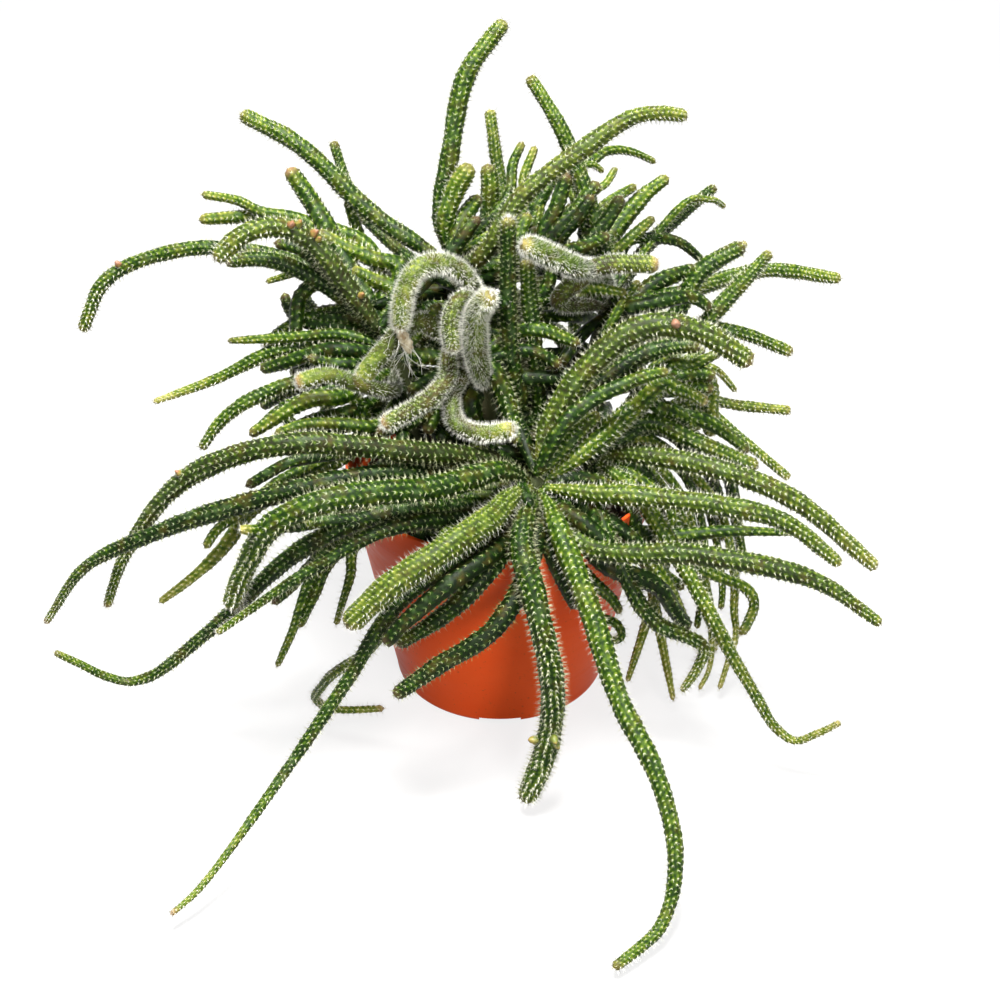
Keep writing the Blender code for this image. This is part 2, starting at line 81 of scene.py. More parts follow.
def placed(name, data):
    """An object with the data, put in the scene."""
    made = bpy.data.objects.new(name, data)
    bpy.context.scene.collection.objects.link(made)
    return made


def mesh_of(name, points, faces, materials, kinds=None):
    """A smooth-shaded mesh; kinds says which of the materials each face is of."""
    mesh = bpy.data.meshes.new(name)
    mesh.from_pydata(points, [], faces)
    for material in materials:
        mesh.materials.append(material)
    if kinds:
        mesh.polygons.foreach_set("material_index", kinds)
    mesh.shade_smooth()
    return mesh


def new_material(name):
    """A material with an empty node tree, its nodes and its links."""
    material = bpy.data.materials.new(name)
    material.use_nodes = True
    tree = material.node_tree
    tree.nodes.clear()
    return material, tree.nodes, tree.links


def combined(nodes, links, operation, first, second):
    """One value made of two, by a sum, a product or the like."""
    made = nodes.new("ShaderNodeMath")
    made.operation = operation
    links.new(first, made.inputs[0])
    links.new(second, made.inputs[1])
    return made.outputs[0]


def mapped(nodes, links, value, low, high, to_low, to_high):
    """The value moved from one range to another, and kept in it."""
    made = nodes.new("ShaderNodeMapRange")
    for name, number in (("From Min", low), ("From Max", high), ("To Min", to_low), ("To Max", to_high)):
        made.inputs[name].default_value = number
    links.new(value, made.inputs["Value"])
    return made.outputs["Result"]


def mixed(nodes, links, share, first, second):
    """Two colours mixed; share, first and second are sockets or plain values."""
    made = nodes.new("ShaderNodeMix")
    made.data_type = "RGBA"
    places = (made.inputs[0], made.inputs[6], made.inputs[7])
    for socket, given in zip(places, (share, first, second)):
        if isinstance(given, bpy.types.NodeSocket):
            links.new(given, socket)
        else:
            socket.default_value = given
    return made.outputs[2]


def layered(nodes, links, share, under, over):
    """Two shaders mixed; share says how much of the upper one shows."""
    made = nodes.new("ShaderNodeMixShader")
    for socket, given in zip(made.inputs, (share, under.outputs[0], over.outputs[0])):
        links.new(given, socket)
    return made.outputs[0]


def seen_directly(nodes, links):
    """A value that is 1 for camera rays and for mirror and glass rays, else 0."""
    rays = nodes.new("ShaderNodeLightPath").outputs
    mirrored = combined(nodes, links, "MAXIMUM", rays["Is Camera Ray"], rays["Is Glossy Ray"])
    return combined(nodes, links, "MAXIMUM", mirrored, rays["Is Transmission Ray"])


def white_sweep_material():
    """Matt white paper that the camera sees nearly white, with the shadow still on it."""
    material, nodes, links = new_material("white_sweep")
    seen = seen_directly(nodes, links)
    paper = nodes.new("ShaderNodeBsdfDiffuse")
    links.new(mixed(nodes, links, seen, PAPER_BOUNCE, PAPER_SHOWN), paper.inputs["Color"])
    place = nodes.new("ShaderNodeTexCoord")
    far = nodes.new("ShaderNodeVectorMath")
    far.operation = "LENGTH"
    links.new(place.outputs["Object"], far.inputs[0])
    fade = mapped(nodes, links, far.outputs["Value"], *TABLE_FADE, *TABLE_SHOWN_WHITE)
    share = combined(nodes, links, "MULTIPLY", seen, fade)
    both = layered(nodes, links, share, paper, nodes.new("ShaderNodeEmission"))
    links.new(both, nodes.new("ShaderNodeOutputMaterial").inputs["Surface"])
    return material


def lay_table():
    half = TABLE_SIZE / 2
    corners = [(x, y, -TABLE_DROP) for x, y in ((-half, -half), (half, -half), (half, half), (-half, half))]
    table = placed("table_top", mesh_of("table_top", corners, [(0, 1, 2, 3)], [white_sweep_material()]))


def hang_lamp(name, place, width, power):
    """A square soft box that points at the middle of the plant."""
    light = bpy.data.lights.new(name, "AREA")
    light.size = width
    light.energy = power
    light.color = LAMP_COLOUR
    lamp = placed(name, light)
    lamp.location = pot_axis + Vector(place)
    aim = pot_axis + Vector((0, 0, LAMP_AIM)) - lamp.location
    lamp.rotation_euler = aim.to_track_quat("-Z", "Y").to_euler()


def light_sky():
    """A dim sky for the plant, which is plain white where it is seen."""
    world = bpy.data.worlds.new("daylight")
    bpy.context.scene.world = world
    world.use_nodes = True
    nodes, links = world.node_tree.nodes, world.node_tree.links
    nodes.clear()
    lit = nodes.new("ShaderNodeBackground")
    lit.inputs["Color"].default_value = SKY_COLOUR
    lit.inputs["Strength"].default_value = SKY_STRENGTH
    white = nodes.new("ShaderNodeBackground")
    white.inputs["Color"].default_value = (1, 1, 1, 1)
    both = layered(nodes, links, seen_directly(nodes, links), lit, white)
    links.new(both, nodes.new("ShaderNodeOutputWorld").inputs["Surface"])


def set_camera():
    lens = bpy.data.cameras.new("view")
    lens.lens = VIEW_LENS
    camera = placed("view", lens)
    camera.location = pot_axis + Vector((0, -VIEW_BACK, VIEW_HEIGHT))
    camera.rotation_euler = (VIEW_TILT, 0, 0)
    bpy.context.scene.camera = camera


lay_table()
light_sky()
for lamp_name, (lamp_place, lamp_width, lamp_power) in LAMPS.items():
    hang_lamp(lamp_name, lamp_place, lamp_width, lamp_power)
set_camera()
bpy.context.scene.view_settings.view_transform = "Standard"

# ---------------------------------------------------------------------------
# The pot: a thin-walled nursery pot in terracotta-coloured plastic, moulded
# in one shot, with a rolled rim band, four notches in its foot ring and six
# drainage holes in its floor.
# ---------------------------------------------------------------------------
POT_SEGMENTS = 120
POT_WALL = 1.4 * MM
RIM_RADIUS = (pot_high.x - pot_low.x) / 2
POT_HEIGHT = pot_high.z
SHOULDER_HEIGHT = POT_HEIGHT - 13 * MM
SHOULDER_RADIUS = RIM_RADIUS - 2.5 * MM
# the rim band, as mm inside the rim's radius and mm over the shoulder: up its outside, then down its inside
BAND_OUTSIDE = [(2.1, -0.3), (1.3, 0), (0.7, 0.7), (0.15, 11.8), (0, 12.3)]
BAND_INSIDE = [(1.4, 11.8), (2.0, 1.6), (3.9, 0.2)]
LIP_STEPS = 6
FOOT_RADIUS = 42.5 * MM
INNER_FOOT = FOOT_RADIUS - 3.5 * MM
FOOT_ROUND = 3 * MM
FOOT_CORNER = 0.35 * FOOT_ROUND
FOOT_STEPS = 6
FLOOR_RISE = 2 * MM
FLOOR_CORNER = 2 * MM
NOTCH_WIDTH = 16.5 * MM
NOTCH_HEIGHT = 1.6 * MM
NOTCH_COUNT = 4
SAW_LENGTH = 12 * MM
DRAIN_RADIUS = 4 * MM
DRAIN_SEGMENTS = 24
DRAIN_CIRCLE = 27 * MM
DRAIN_COUNT = 6
DRILL_LENGTH = 12 * MM
SHARP_EDGE = math.radians(40)
# colours are 0-255 paint values; in a list, each follows its place from 0 to 1 on a colour ramp
PLASTIC = [(0.3, (244, 86, 33)), (0.7, (249, 97, 42))]
DUST = (150, 78, 46)


def srgb(red, green, blue):
    """A paint colour given as 0-255 values, as the shaders take it."""
    channels = [c / 255 for c in (red, green, blue)]
    return tuple(c / 12.92 if c < 0.04045 else ((c + 0.055) / 1.055) ** 2.4 for c in channels) + (1,)


def noise(nodes, links, scale, detail=3, roughness=0.55, stretch=None):
    """Noise in the object's own space; the larger the scale, the finer it is."""
    place = nodes.new("ShaderNodeTexCoord")
    source = place.outputs["Object"]
    if stretch:
        mapping = nodes.new("ShaderNodeMapping")
        mapping.inputs["Scale"].default_value = stretch
        links.new(source, mapping.inputs["Vector"])
        source = mapping.outputs["Vector"]
    texture = nodes.new("ShaderNodeTexNoise")
    texture.inputs["Scale"].default_value = scale
    texture.inputs["Detail"].default_value = detail
    texture.inputs["Roughness"].default_value = roughness
    links.new(source, texture.inputs["Vector"])
    return texture.outputs["Fac"]


def ramp(nodes, links, value, stops):
    """A colour ramp over (place, paint colour) stops."""
    made = nodes.new("ShaderNodeValToRGB")
    band = made.color_ramp
    while len(band.elements) < len(stops):
        band.elements.new(0.5)
    for element, (place, colour) in zip(band.elements, stops):
        element.position = place
        element.color = srgb(*colour)
    links.new(value, made.inputs["Fac"])
    return made.outputs["Color"]


def bumped(nodes, links, height, distance, strength=1.0):
    made = nodes.new("ShaderNodeBump")
    made.inputs["Distance"].default_value = distance
    made.inputs["Strength"].default_value = strength
    links.new(height, made.inputs["Height"])
    return made.outputs["Normal"]


def surface(nodes, links, colour, roughness, normal=None, **sockets):
    """A Principled shader on the material's output; roughness is a socket or a number."""
    shader = nodes.new("ShaderNodeBsdfPrincipled")
    links.new(colour, shader.inputs["Base Color"])
    if isinstance(roughness, bpy.types.NodeSocket):
        links.new(roughness, shader.inputs["Roughness"])
    else:
        shader.inputs["Roughness"].default_value = roughness
    if normal is not None:
        links.new(normal, shader.inputs["Normal"])
    for name, number in sockets.items():
        shader.inputs[name.replace("_", " ")].default_value = number
    out = nodes.new("ShaderNodeOutputMaterial")
    links.new(shader.outputs["BSDF"], out.inputs["Surface"])


def terracotta_plastic():
    material, nodes, links = new_material("terracotta_plastic")
    body = ramp(nodes, links, noise(nodes, links, 28), PLASTIC)
    dust = mapped(nodes, links, noise(nodes, links, 900, detail=2), 0.66, 0.74, 0, 0.55)
    dusty = mixed(nodes, links, dust, body, srgb(*DUST))
    drawn = noise(nodes, links, 60, stretch=(1, 1, 9))
    gloss = mapped(nodes, links, drawn, 0.3, 0.7, 0.36, 0.5)
    grain = bumped(nodes, links, noise(nodes, links, 1400, detail=2), 0.05 * MM, 0.35)
    surface(nodes, links, dusty, gloss, grain, Specular_IOR_Level=0.08)
    return material


def wall_point(share, inside=0.0):
    """A point of the tapered wall, a share of the way from the foot to the shoulder."""
    radius = FOOT_RADIUS + (SHOULDER_RADIUS - FOOT_RADIUS) * share - inside
    return radius, FOOT_ROUND + (SHOULDER_HEIGHT - FOOT_ROUND) * share


def band_points(band):
    return [(RIM_RADIUS - inside * MM, SHOULDER_HEIGHT + rise * MM) for inside, rise in band]


def pot_profile():
    """The half section of the pot as (radius, height), up the outside and down the inside."""
    outline = [(INNER_FOOT, FLOOR_RISE), (INNER_FOOT, 0), (FOOT_RADIUS - FOOT_CORNER, 0)]
    for step in range(1, FOOT_STEPS + 1):
        turn = math.radians(90 * step / FOOT_STEPS)
        radius = FOOT_RADIUS - FOOT_CORNER + FOOT_CORNER * math.sin(turn)
        outline.append((radius, FOOT_ROUND * (1 - math.cos(turn))))
    outline += [wall_point(share) for share in (0.2, 0.4, 0.6, 0.8, 0.985)]
    outline += band_points(BAND_OUTSIDE)
    lip = POT_WALL / 2
    for step in range(1, LIP_STEPS):
        turn = math.radians(180 * step / LIP_STEPS)
        outline.append((RIM_RADIUS - lip + lip * math.cos(turn), POT_HEIGHT - lip + lip * math.sin(turn)))
    outline += band_points(BAND_INSIDE)
    outline += [wall_point(share, POT_WALL) for share in (0.75, 0.5, 0.25)]
    outline.append((FOOT_RADIUS - POT_WALL, FLOOR_RISE + POT_WALL + FLOOR_CORNER))
    outline.append((FOOT_RADIUS - POT_WALL - FLOOR_CORNER, FLOOR_RISE + POT_WALL))
    return outline


def spun(outline):
    """The closed shape that the outline makes when it turns about the z axis."""
    shape = bmesh.new()
    turns = [2 * math.pi * i / POT_SEGMENTS for i in range(POT_SEGMENTS)]
    rings = []
    for radius, height in outline:
        rings.append([shape.verts.new((radius * math.cos(a), radius * math.sin(a), height)) for a in turns])
    for low, high in zip(rings, rings[1:]):
        for i in range(POT_SEGMENTS):
            j = (i + 1) % POT_SEGMENTS
            shape.faces.new((low[i], low[j], high[j], high[i]))
    shape.faces.new(rings[0][::-1])
    shape.faces.new(rings[-1])
    bmesh.ops.recalc_face_normals(shape, faces=shape.faces)
    return shape


def solid(name, shape):
    """An object made of the shape, which is used up."""
    mesh = bpy.data.meshes.new(name)
    shape.to_mesh(mesh)
    shape.free()
    return placed(name, mesh)


def drill(turn):
    """A round bar through the floor, at a turn of the circle of drainage holes."""
    bar = bmesh.new()
    bmesh.ops.create_cone(bar, cap_ends=True, segments=DRAIN_SEGMENTS, radius1=DRAIN_RADIUS,
                          radius2=DRAIN_RADIUS, depth=DRILL_LENGTH)
    place = (DRAIN_CIRCLE * math.cos(turn), DRAIN_CIRCLE * math.sin(turn), FLOOR_RISE)
    bmesh.ops.translate(bar, verts=bar.verts, vec=place)
    return solid("drill", bar)


def saw(turn):
    """A flat bar through the foot ring, at a turn of it."""
    bar = bmesh.new()
    bmesh.ops.create_cube(bar, size=1)
    bmesh.ops.scale(bar, verts=bar.verts, vec=(SAW_LENGTH, NOTCH_WIDTH, 2 * NOTCH_HEIGHT))
    bmesh.ops.translate(bar, verts=bar.verts, vec=(FOOT_RADIUS, 0, 0))
    bmesh.ops.rotate(bar, verts=bar.verts, cent=(0, 0, 0), matrix=Matrix.Rotation(turn, 3, "Z"))
    return solid("saw", bar)


def cut_away(piece, tool):
    """Cuts the tool's shape out of the piece for good, and removes the tool."""
    boolean = piece.modifiers.new("cut", "BOOLEAN")
    boolean.operation = "DIFFERENCE"
    boolean.solver = "EXACT"
    boolean.object = tool
    bpy.context.view_layer.update()
    graph = bpy.context.evaluated_depsgraph_get()
    result = bpy.data.meshes.new_from_object(piece.evaluated_get(graph))
    piece.modifiers.clear()
    piece.data = result
    bpy.data.objects.remove(tool)


def mould_pot():
    pot = solid("nursery_pot", spun(pot_profile()))
    for i in range(DRAIN_COUNT):
        cut_away(pot, drill(2 * math.pi * (i + 0.5) / DRAIN_COUNT))
    for i in range(NOTCH_COUNT):
        cut_away(pot, saw(math.radians(-90) + 2 * math.pi * i / NOTCH_COUNT))
    pot.data.shade_smooth()
    pot.data.set_sharp_from_angle(angle=SHARP_EDGE)
    pot.location = pot_axis
    pot.data.materials.append(terracotta_plastic())
    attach(pot, "root")
    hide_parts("pot")


mould_pot()

# ---------------------------------------------------------------------------
# The potting soil: dark peat filled to just under the rim, with coarse crumbs
# of bark and a few white grains of perlite pressed into its top.
# ---------------------------------------------------------------------------
soil_low, soil_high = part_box("soil")
SOIL_RADIUS = (soil_high.x - soil_low.x) / 2
SOIL_FOOT = FOOT_RADIUS - POT_WALL - 0.4 * MM
SOIL_TOP = soil_high.z - 1.2 * MM
SOIL_RINGS = 30
SOIL_SPOKES = 96
# the rings by the pot's wall over which the peat evens out
EVEN_RINGS = 4
ROUGHNESS = 0.5 * MM
CRUMBS = 500
CRUMB_MARGIN = 3 * MM
PERLITE_SHARE = 0.1
PERLITE_SIZE = (0.6, 1.3)
BARK_SIZE = (0.6, 2.2)
# the least and the most length, width and height of a crumb of bark, as shares of its size
BARK_SHAPE = ((0.6, 0.4, 0.3), (1.3, 0.9, 0.7))
# how far a crumb's middle lies over the peat, as a share of its size, and how lumpy crumbs are
UNSUNK_SHARE = 0.35
CRUMB_LUMPS = (0.75, 1.15)
PEAT = [(0.32, (24, 15, 10)), (0.55, (58, 39, 26)), (0.75, (96, 70, 48))]
BARK = [(0.3, (40, 26, 18)), (0.7, (104, 78, 54))]
PERLITE = [(0.3, (196, 190, 178)), (0.7, (232, 229, 220))]


def peat_material():
    material, nodes, links = new_material("peat")
    fibres = noise(nodes, links, 520, detail=5, roughness=0.65)
    bump = bumped(nodes, links, fibres, 0.6 * MM)
    surface(nodes, links, ramp(nodes, links, fibres, PEAT), 0.95, bump)
    return material


def crumb_material(name, colours):
    material, nodes, links = new_material(name)
    grain = noise(nodes, links, 700, detail=4)
    bump = bumped(nodes, links, grain, 0.3 * MM)
    surface(nodes, links, ramp(nodes, links, grain, colours), 0.85, bump)
    return material


def ground(x, y):
    """The uneven height of the peat at a place, above its mean."""
    return MM * (1.1 * math.sin(x * 210 + 1) * math.cos(y * 190) + 0.5 * math.sin(x * 640 + y * 510))


def peat_block(chance):
    """The peat's uneven top, its side and its base, as (points, faces)."""
    turns = [2 * math.pi * spoke / SOIL_SPOKES for spoke in range(SOIL_SPOKES)]
    points, faces = [], []
    for ring in range(SOIL_RINGS + 1):
        radius = SOIL_RADIUS * ring / SOIL_RINGS
        edge = min(1, (SOIL_RINGS - ring) / EVEN_RINGS)
        for turn in turns:
            x, y = radius * math.cos(turn), radius * math.sin(turn)
            rough = edge * chance.uniform(-1, 1) * ROUGHNESS if ring else 0
            points.append((x, y, SOIL_TOP + edge * ground(x, y) + rough))
    points += [(SOIL_FOOT * math.cos(turn), SOIL_FOOT * math.sin(turn), soil_low.z) for turn in turns]
    for ring in range(SOIL_RINGS + 1):
        for spoke in range(SOIL_SPOKES):
            a, b = ring * SOIL_SPOKES + spoke, ring * SOIL_SPOKES + (spoke + 1) % SOIL_SPOKES
            face = (a, a + SOIL_SPOKES, b + SOIL_SPOKES, b)
            faces.append(face if ring else face[:3])
    faces.append(tuple(len(points) - 1 - spoke for spoke in range(SOIL_SPOKES)))
    return points, faces


def scatter_crumbs(chance):
    """Crumbs of bark and grains of perlite on the peat, as (points, faces, kinds of face)."""
    ball = bmesh.new()
    bmesh.ops.create_icosphere(ball, subdivisions=1, radius=1)
    ball_points = np.array([v.co for v in ball.verts])
    ball_faces = [[v.index for v in f.verts] for f in ball.faces]
    ball.free()
    points, faces, kinds = [], [], []
    for _ in range(CRUMBS):
        radius = (SOIL_RADIUS - CRUMB_MARGIN) * math.sqrt(chance.random())
        turn = chance.uniform(0, 2 * math.pi)
        x, y = radius * math.cos(turn), radius * math.sin(turn)
        white = chance.random() < PERLITE_SHARE
        size = chance.uniform(*(PERLITE_SIZE if white else BARK_SIZE)) * MM
        crumb = ball_points * chance.uniform(*CRUMB_LUMPS, (len(ball_points), 1))
        if not white:
            crumb = crumb * chance.uniform(*BARK_SHAPE)
        spin = chance.uniform(0, math.pi)
        cos, sin = math.cos(spin), math.sin(spin)
        crumb = crumb @ np.array(((cos, sin, 0), (-sin, cos, 0), (0, 0, 1))) * size
        middle = (x, y, SOIL_TOP + ground(x, y) + UNSUNK_SHARE * size)
        faces += [tuple(len(points) + i for i in face) for face in ball_faces]
        points += (crumb + middle).tolist()
        kinds += [2 if white else 1] * len(ball_faces)
    return points, faces, kinds


def fill_soil():
    chance = np.random.default_rng(4)
    points, faces = peat_block(chance)
    crumbs, crumb_faces, crumb_kinds = scatter_crumbs(chance)
    kinds = [0] * len(faces) + crumb_kinds
    faces += [tuple(len(points) + i for i in face) for face in crumb_faces]
    materials = [peat_material(), crumb_material("bark_crumbs", BARK), crumb_material("perlite", PERLITE)]
    soil = placed("potting_mix", mesh_of("potting_mix", points + crumbs, faces, materials, kinds))
    soil.location = pot_axis
    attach(soil, "root")
    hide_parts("soil")


fill_soil()

# ---------------------------------------------------------------------------
# The crowns: the short upright main stems that root in the soil. They are old,
# so their skin is corky and brown-green, and each carries a fan of stems.
# ---------------------------------------------------------------------------
CROWN_SIDES = 8
CROWN_AROUND = 20
CROWN_STEP = 1.5 * MM
HEAD_LENGTH = 26 * MM
HEAD_SHARE = 0.5
CROWN_THICKEST = 5.5 * MM
# the two sets of knobs: how far they stand out, how many lie round the crown, and how fast they wind up it
KNOBS = [(0.05, 3, 220), (0.04, 5, -420)]
CORK = [(0.35, (26, 32, 12)), (0.5, (52, 60, 24)), (0.7, (66, 64, 34))]
SAME_POINT = 0.01 * MM
CURVE_STEPS = 12
# a direction that no stem follows, to start the sides of a tube from
ASKEW = (0.31, 0.95, 0.02)
crown_lines = {}


def welded(node):
    """The node's points with doubles merged, and the set of neighbours of each."""
    mesh = frame["nodes"][node].data
    keys, merged, number = {}, [], []
    for vertex in mesh.vertices:
        place = np.array(vertex.co)
        key = tuple(np.round(place / SAME_POINT).astype(int))
        if key not in keys:
            keys[key] = len(merged)
            merged.append(place)
        number.append(keys[key])
    beside = [set() for _ in merged]
    for edge in mesh.edges:
        a, b = number[edge.vertices[0]], number[edge.vertices[1]]
        if a != b:
            beside[a].add(b)
            beside[b].add(a)
    return np.array(merged), beside


def rings_from(start, beside):
    """The points in steps away from start: one ring of a tube after another."""
    levels, seen = [[start]], {start}
    while levels[-1]:
        found = {n for v in levels[-1] for n in beside[v]} - seen
        seen |= found
        levels.append(sorted(found))
    return levels[:-1]


def centre_line(node, sides):
    """The middle line of a tube node from its foot to its tip, and its radius along it."""
    places, beside = welded(node)
    for start in range(len(places)):
        if len(beside[start]) != sides:
            continue
        second = {n for v in beside[start] for n in beside[v]} - beside[start] - {start}
        if len(second) == sides:
            break
    levels = rings_from(start, beside)[::-1]
    line = np.array([places[ring].mean(axis=0) for ring in levels])
    spokes = [places[ring] - middle for ring, middle in zip(levels, line)]
    return line, np.array([np.linalg.norm(ring, axis=1).mean() for ring in spokes])


def distances(points):
    """How far along the line through the points each of them lies."""
    return np.concatenate([[0], np.cumsum(np.linalg.norm(np.diff(points, axis=0), axis=1))])


def resampled(points, along, at):
    """The places at the distances at on a line whose points lie at the distances along."""
    return np.stack([np.interp(at, along, points[:, k]) for k in range(3)], axis=1)


def smooth_through(points, step):
    """A smooth curve through the points, with a point every step along it."""
    points = np.asarray(points, float)
    ends = np.vstack([2 * points[0] - points[1], points, 2 * points[-1] - points[-2]])
    fine = []
    for before, a, b, after in zip(ends, ends[1:], ends[2:], ends[3:]):
        t = np.linspace(0, 1, CURVE_STEPS, endpoint=False)[:, None]
        bend = (2 * before - 5 * a + 4 * b - after) * t**2 + (3 * a - before - 3 * b + after) * t**3
        fine.append(0.5 * (2 * a + (b - before) * t + bend))
    fine = np.vstack([*fine, points[-1:]])
    along = distances(fine)
    at = np.linspace(0, along[-1], max(4, int(round(along[-1] / step))) + 1)
    return resampled(fine, along, at), at


def unit(vectors):
    return vectors / np.maximum(np.linalg.norm(vectors, axis=-1, keepdims=True), 1e-12)


def carried_sides(line):
    """The direction along the line at each point, and one across it that never spins."""
    forward = unit(np.gradient(line, axis=0))
    across = np.zeros_like(line)
    across[0] = unit(np.cross(forward[0], ASKEW))
    for i in range(1, len(line)):
        across[i] = unit(across[i - 1] - forward[i] * across[i - 1].dot(forward[i]))
    return forward, across


def ways_out(forward, across, turn):
    """The way out of a tube at each turn of each ring."""
    third = np.cross(forward, across)
    return np.cos(turn)[..., None] * across[:, None] + np.sin(turn)[..., None] * third[:, None]


def tube_faces(rings, around, first=0):
    """The faces of a tube whose points go ring by ring from the first, then its foot and its tip."""
    faces = []
    for ring in range(rings - 1):
        a = first + ring * around
        for k in range(around):
            after = (k + 1) % around
            faces.append((a + k, a + after, a + around + after, a + around + k))
    last = first + (rings - 1) * around
    faces.append(tuple(first + k for k in reversed(range(around))))
    faces.append(tuple(last + k for k in range(around)))
    return faces


def cork_material():
    material, nodes, links = new_material("corky_crown")
    cracks = noise(nodes, links, 160, detail=4, stretch=(1, 1, 0.35))
    bump = bumped(nodes, links, cracks, 0.5 * MM)
    surface(nodes, links, ramp(nodes, links, cracks, CORK), 0.75, bump)
    return material


def grow_crowns():
    cork = cork_material()
    for node in sorted(n for n in frame["nodes"] if n.endswith("_crown")):
        rings, radii = centre_line(node, CROWN_SIDES)
        line, at = smooth_through(rings, CROWN_STEP)
        crown_lines[node] = line
        spaced = distances(rings)
        radius = np.minimum(np.interp(at / at[-1], spaced / spaced[-1], radii), CROWN_THICKEST)
        to_head = np.clip((at[-1] - at) / HEAD_LENGTH, 0, 1)
        radius = radius * (HEAD_SHARE + (1 - HEAD_SHARE) * to_head)
        chance = np.random.default_rng(len(line) + len(node))
        turn = 2 * math.pi * np.arange(CROWN_AROUND)[None, :] / CROWN_AROUND
        knobbly = 1
        for (share, count, winding), start in zip(KNOBS, chance.uniform(0, 2 * math.pi, len(KNOBS))):
            knobbly = knobbly + share * np.sin(count * turn + start + at[:, None] * winding)
        out = ways_out(*carried_sides(line), turn)
        points = (line[:, None] + out * (radius[:, None] * knobbly)[..., None]).reshape(-1, 3)
        faces = tube_faces(len(line), CROWN_AROUND)
        crown = placed("corky_" + node, mesh_of("corky_" + node, points.tolist(), faces, [cork]))
        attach(crown, "root")
        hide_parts(node)


grow_crowns()

# ---------------------------------------------------------------------------
# The stems: round, faintly ribbed and leafless. Each rib is a row of small
# tubercles, and each tubercle ends in an areole, a cushion of cream wool with
# a few soft bristles that lean towards the tip.
# ---------------------------------------------------------------------------
STEM_SIDES = 6
STEM_STEP = 1 * MM
AREOLE_PITCH = 2.7 * MM
TIP_CROWDING = 0.75
CROWDED_LENGTH = 30 * MM
RIB_RISE = 0.02
# how far a rib stands out at an areole and halfway to the next one
TUBERCLE = (0.42 * MM, 0.0)
FULL_RADIUS = 3.2 * MM
# how a stem's thickness wavers: by which share, and how fast along it
WAVERS = [(0.035, 160), (0.025, 410)]
# the length of a stem's round end as a share of its radius there, and the least share of the radius left
ROUND_END = 1.2
LEAST_END = 0.1
# how late a stem narrows and ripens towards its tip, as powers of the way there
TAPER_EASE = 1.2
RIPENING_EASE = 1.3
# how far stems of one look differ in ripeness
RIPENESS_SPREAD = 0.07
# how far a stem's ribs may twist along it and how far they weave, in radians
RIB_TWIST = 6
RIB_WEAVE = 0.08
RIB_WEAVE_PACE = 260
# how far areoles stray round the stem, in radians, and along it, as a share of the gap to the next ring
STRAY_ROUND = 0.1
STRAY_ALONG = 0.4
KNOB_SIZES = (0.5, 1.4)
# how far up from its foot a stem's foot value fades; by default that value is painted shade near the crown
FOOT_LENGTH = 38 * MM
BLUSH_LENGTH = 4 * MM
SCALE_CONTRAST = 0.26
TUFT_LENGTH = 1.6 * MM
TUFT_WIDTH = 0.115 * MM
TUFT_SPREAD = math.radians(36)
TUFT_LIFT = (5, 32)
TUFT_RIDGE = 1.6
# the least and most size of tufts for the radius of their stem, and how much hairs differ in length
TUFT_SIZES = (0.55, 1.15)
HAIR_LENGTHS = (0.5, 1.15)
BRISTLE_WIDTH = 0.062 * MM
# how deep the roots of wool and bristles sit in the skin
ROOT_DEPTH = 0.1 * MM
# the corners of a needle's foot, as turns about it
NEEDLE_CORNERS = (0, 2.1, 4.2)
TIP_BRISTLE = (1.0, 2.4)
# how far bristles at the tip lean outwards, and how far they stray
TIP_SPLAY = 0.6
TIP_STRAY = 0.5
# how much whiter than the skin's ripeness the hairs of a coat and of a tip are
COAT_WHITER = 0.25
TIP_WHITER = 0.3
SKIN = [
    (0.0, (7, 18, 2)), (0.25, (30, 56, 7)), (0.5, (84, 110, 28)), (0.75, (148, 156, 68)),
    (1.0, (206, 200, 126)),
]
BRONZE = (118, 98, 44)
# a painted sheen: pale bluish-green patches on the skin that stand in for reflections
PAINTED_SHEEN = (96, 122, 76)
# painted shade: the dark green that the grooves between the ribs are darkened towards
GROOVE_SHADE = (20, 40, 6)
ROSY = (176, 134, 104)
WOOL = [(0.0, (136, 150, 92)), (0.25, (198, 207, 168)), (0.5, (233, 236, 216)), (0.9, (252, 250, 234))]
AGED_WOOL = (186, 166, 120)
BRISTLES = [(0.05, (120, 136, 78)), (0.3, (222, 222, 188)), (0.5, (253, 252, 244))]

# A stem's look. Its skin: the ripeness (shade), what its foot and its tip add to that, over tip_length in mm,
# the rosy tint of its tip (blush) and of all of it (tan), and how much its areoles stand out (scaly).
# A foot below 0 is painted shade, darker where the stems crowd into their crown; one above 0 is a paler base.
# Its shape: the share of its radius left at the tip (point) after the last share of its length (taper),
# its girth, its ribs and how far its areoles are apart (pitch). Its hairs: the size of the wool tufts,
# bristles at each areole, their length in mm (hair), their lean and fan in degrees, the downy coat's hairs
# in each square mm, the brush of bristles at the tip, and how wide a hair is (fine).
STEM = dict(
    shade=0.34, foot=-0.2, tip=0.18, tip_length=34, blush=0.25, tan=0.0, scaly=1.0,
    point=0.7, taper=0.35, girth=1.0, ribs=10, pitch=0.88,
    tufts=0.88, bristles=2, hair=2.2, lean=(42, 95), fan=60, coat=0, brush=8, fine=1.0,
)
WOOLLY = dict(
    shade=0.5, tip=0.14, tip_length=40, blush=0.4, tan=0.06, scaly=0.3,
    point=0.97, taper=0.3, ribs=12, pitch=0.9,
    tufts=0.3, bristles=0, hair=1.9, lean=(72, 106), fan=90, coat=3.4, brush=80, fine=1.2,
)
SLENDER = dict(point=0.35, taper=0.7)


def painted(nodes, name):
    """A value that is painted on the mesh's points."""
    made = nodes.new("ShaderNodeAttribute")
    made.attribute_name = name
    return made.outputs["Fac"]


def uneven_ripeness(nodes, links, patches, swing, low=0.3, high=0.7):
    """The painted ripeness, moved up or down by as much as swing from patch to patch."""
    uneven = mapped(nodes, links, patches, low, high, -swing, swing)
    return combined(nodes, links, "ADD", painted(nodes, "ripeness"), uneven)


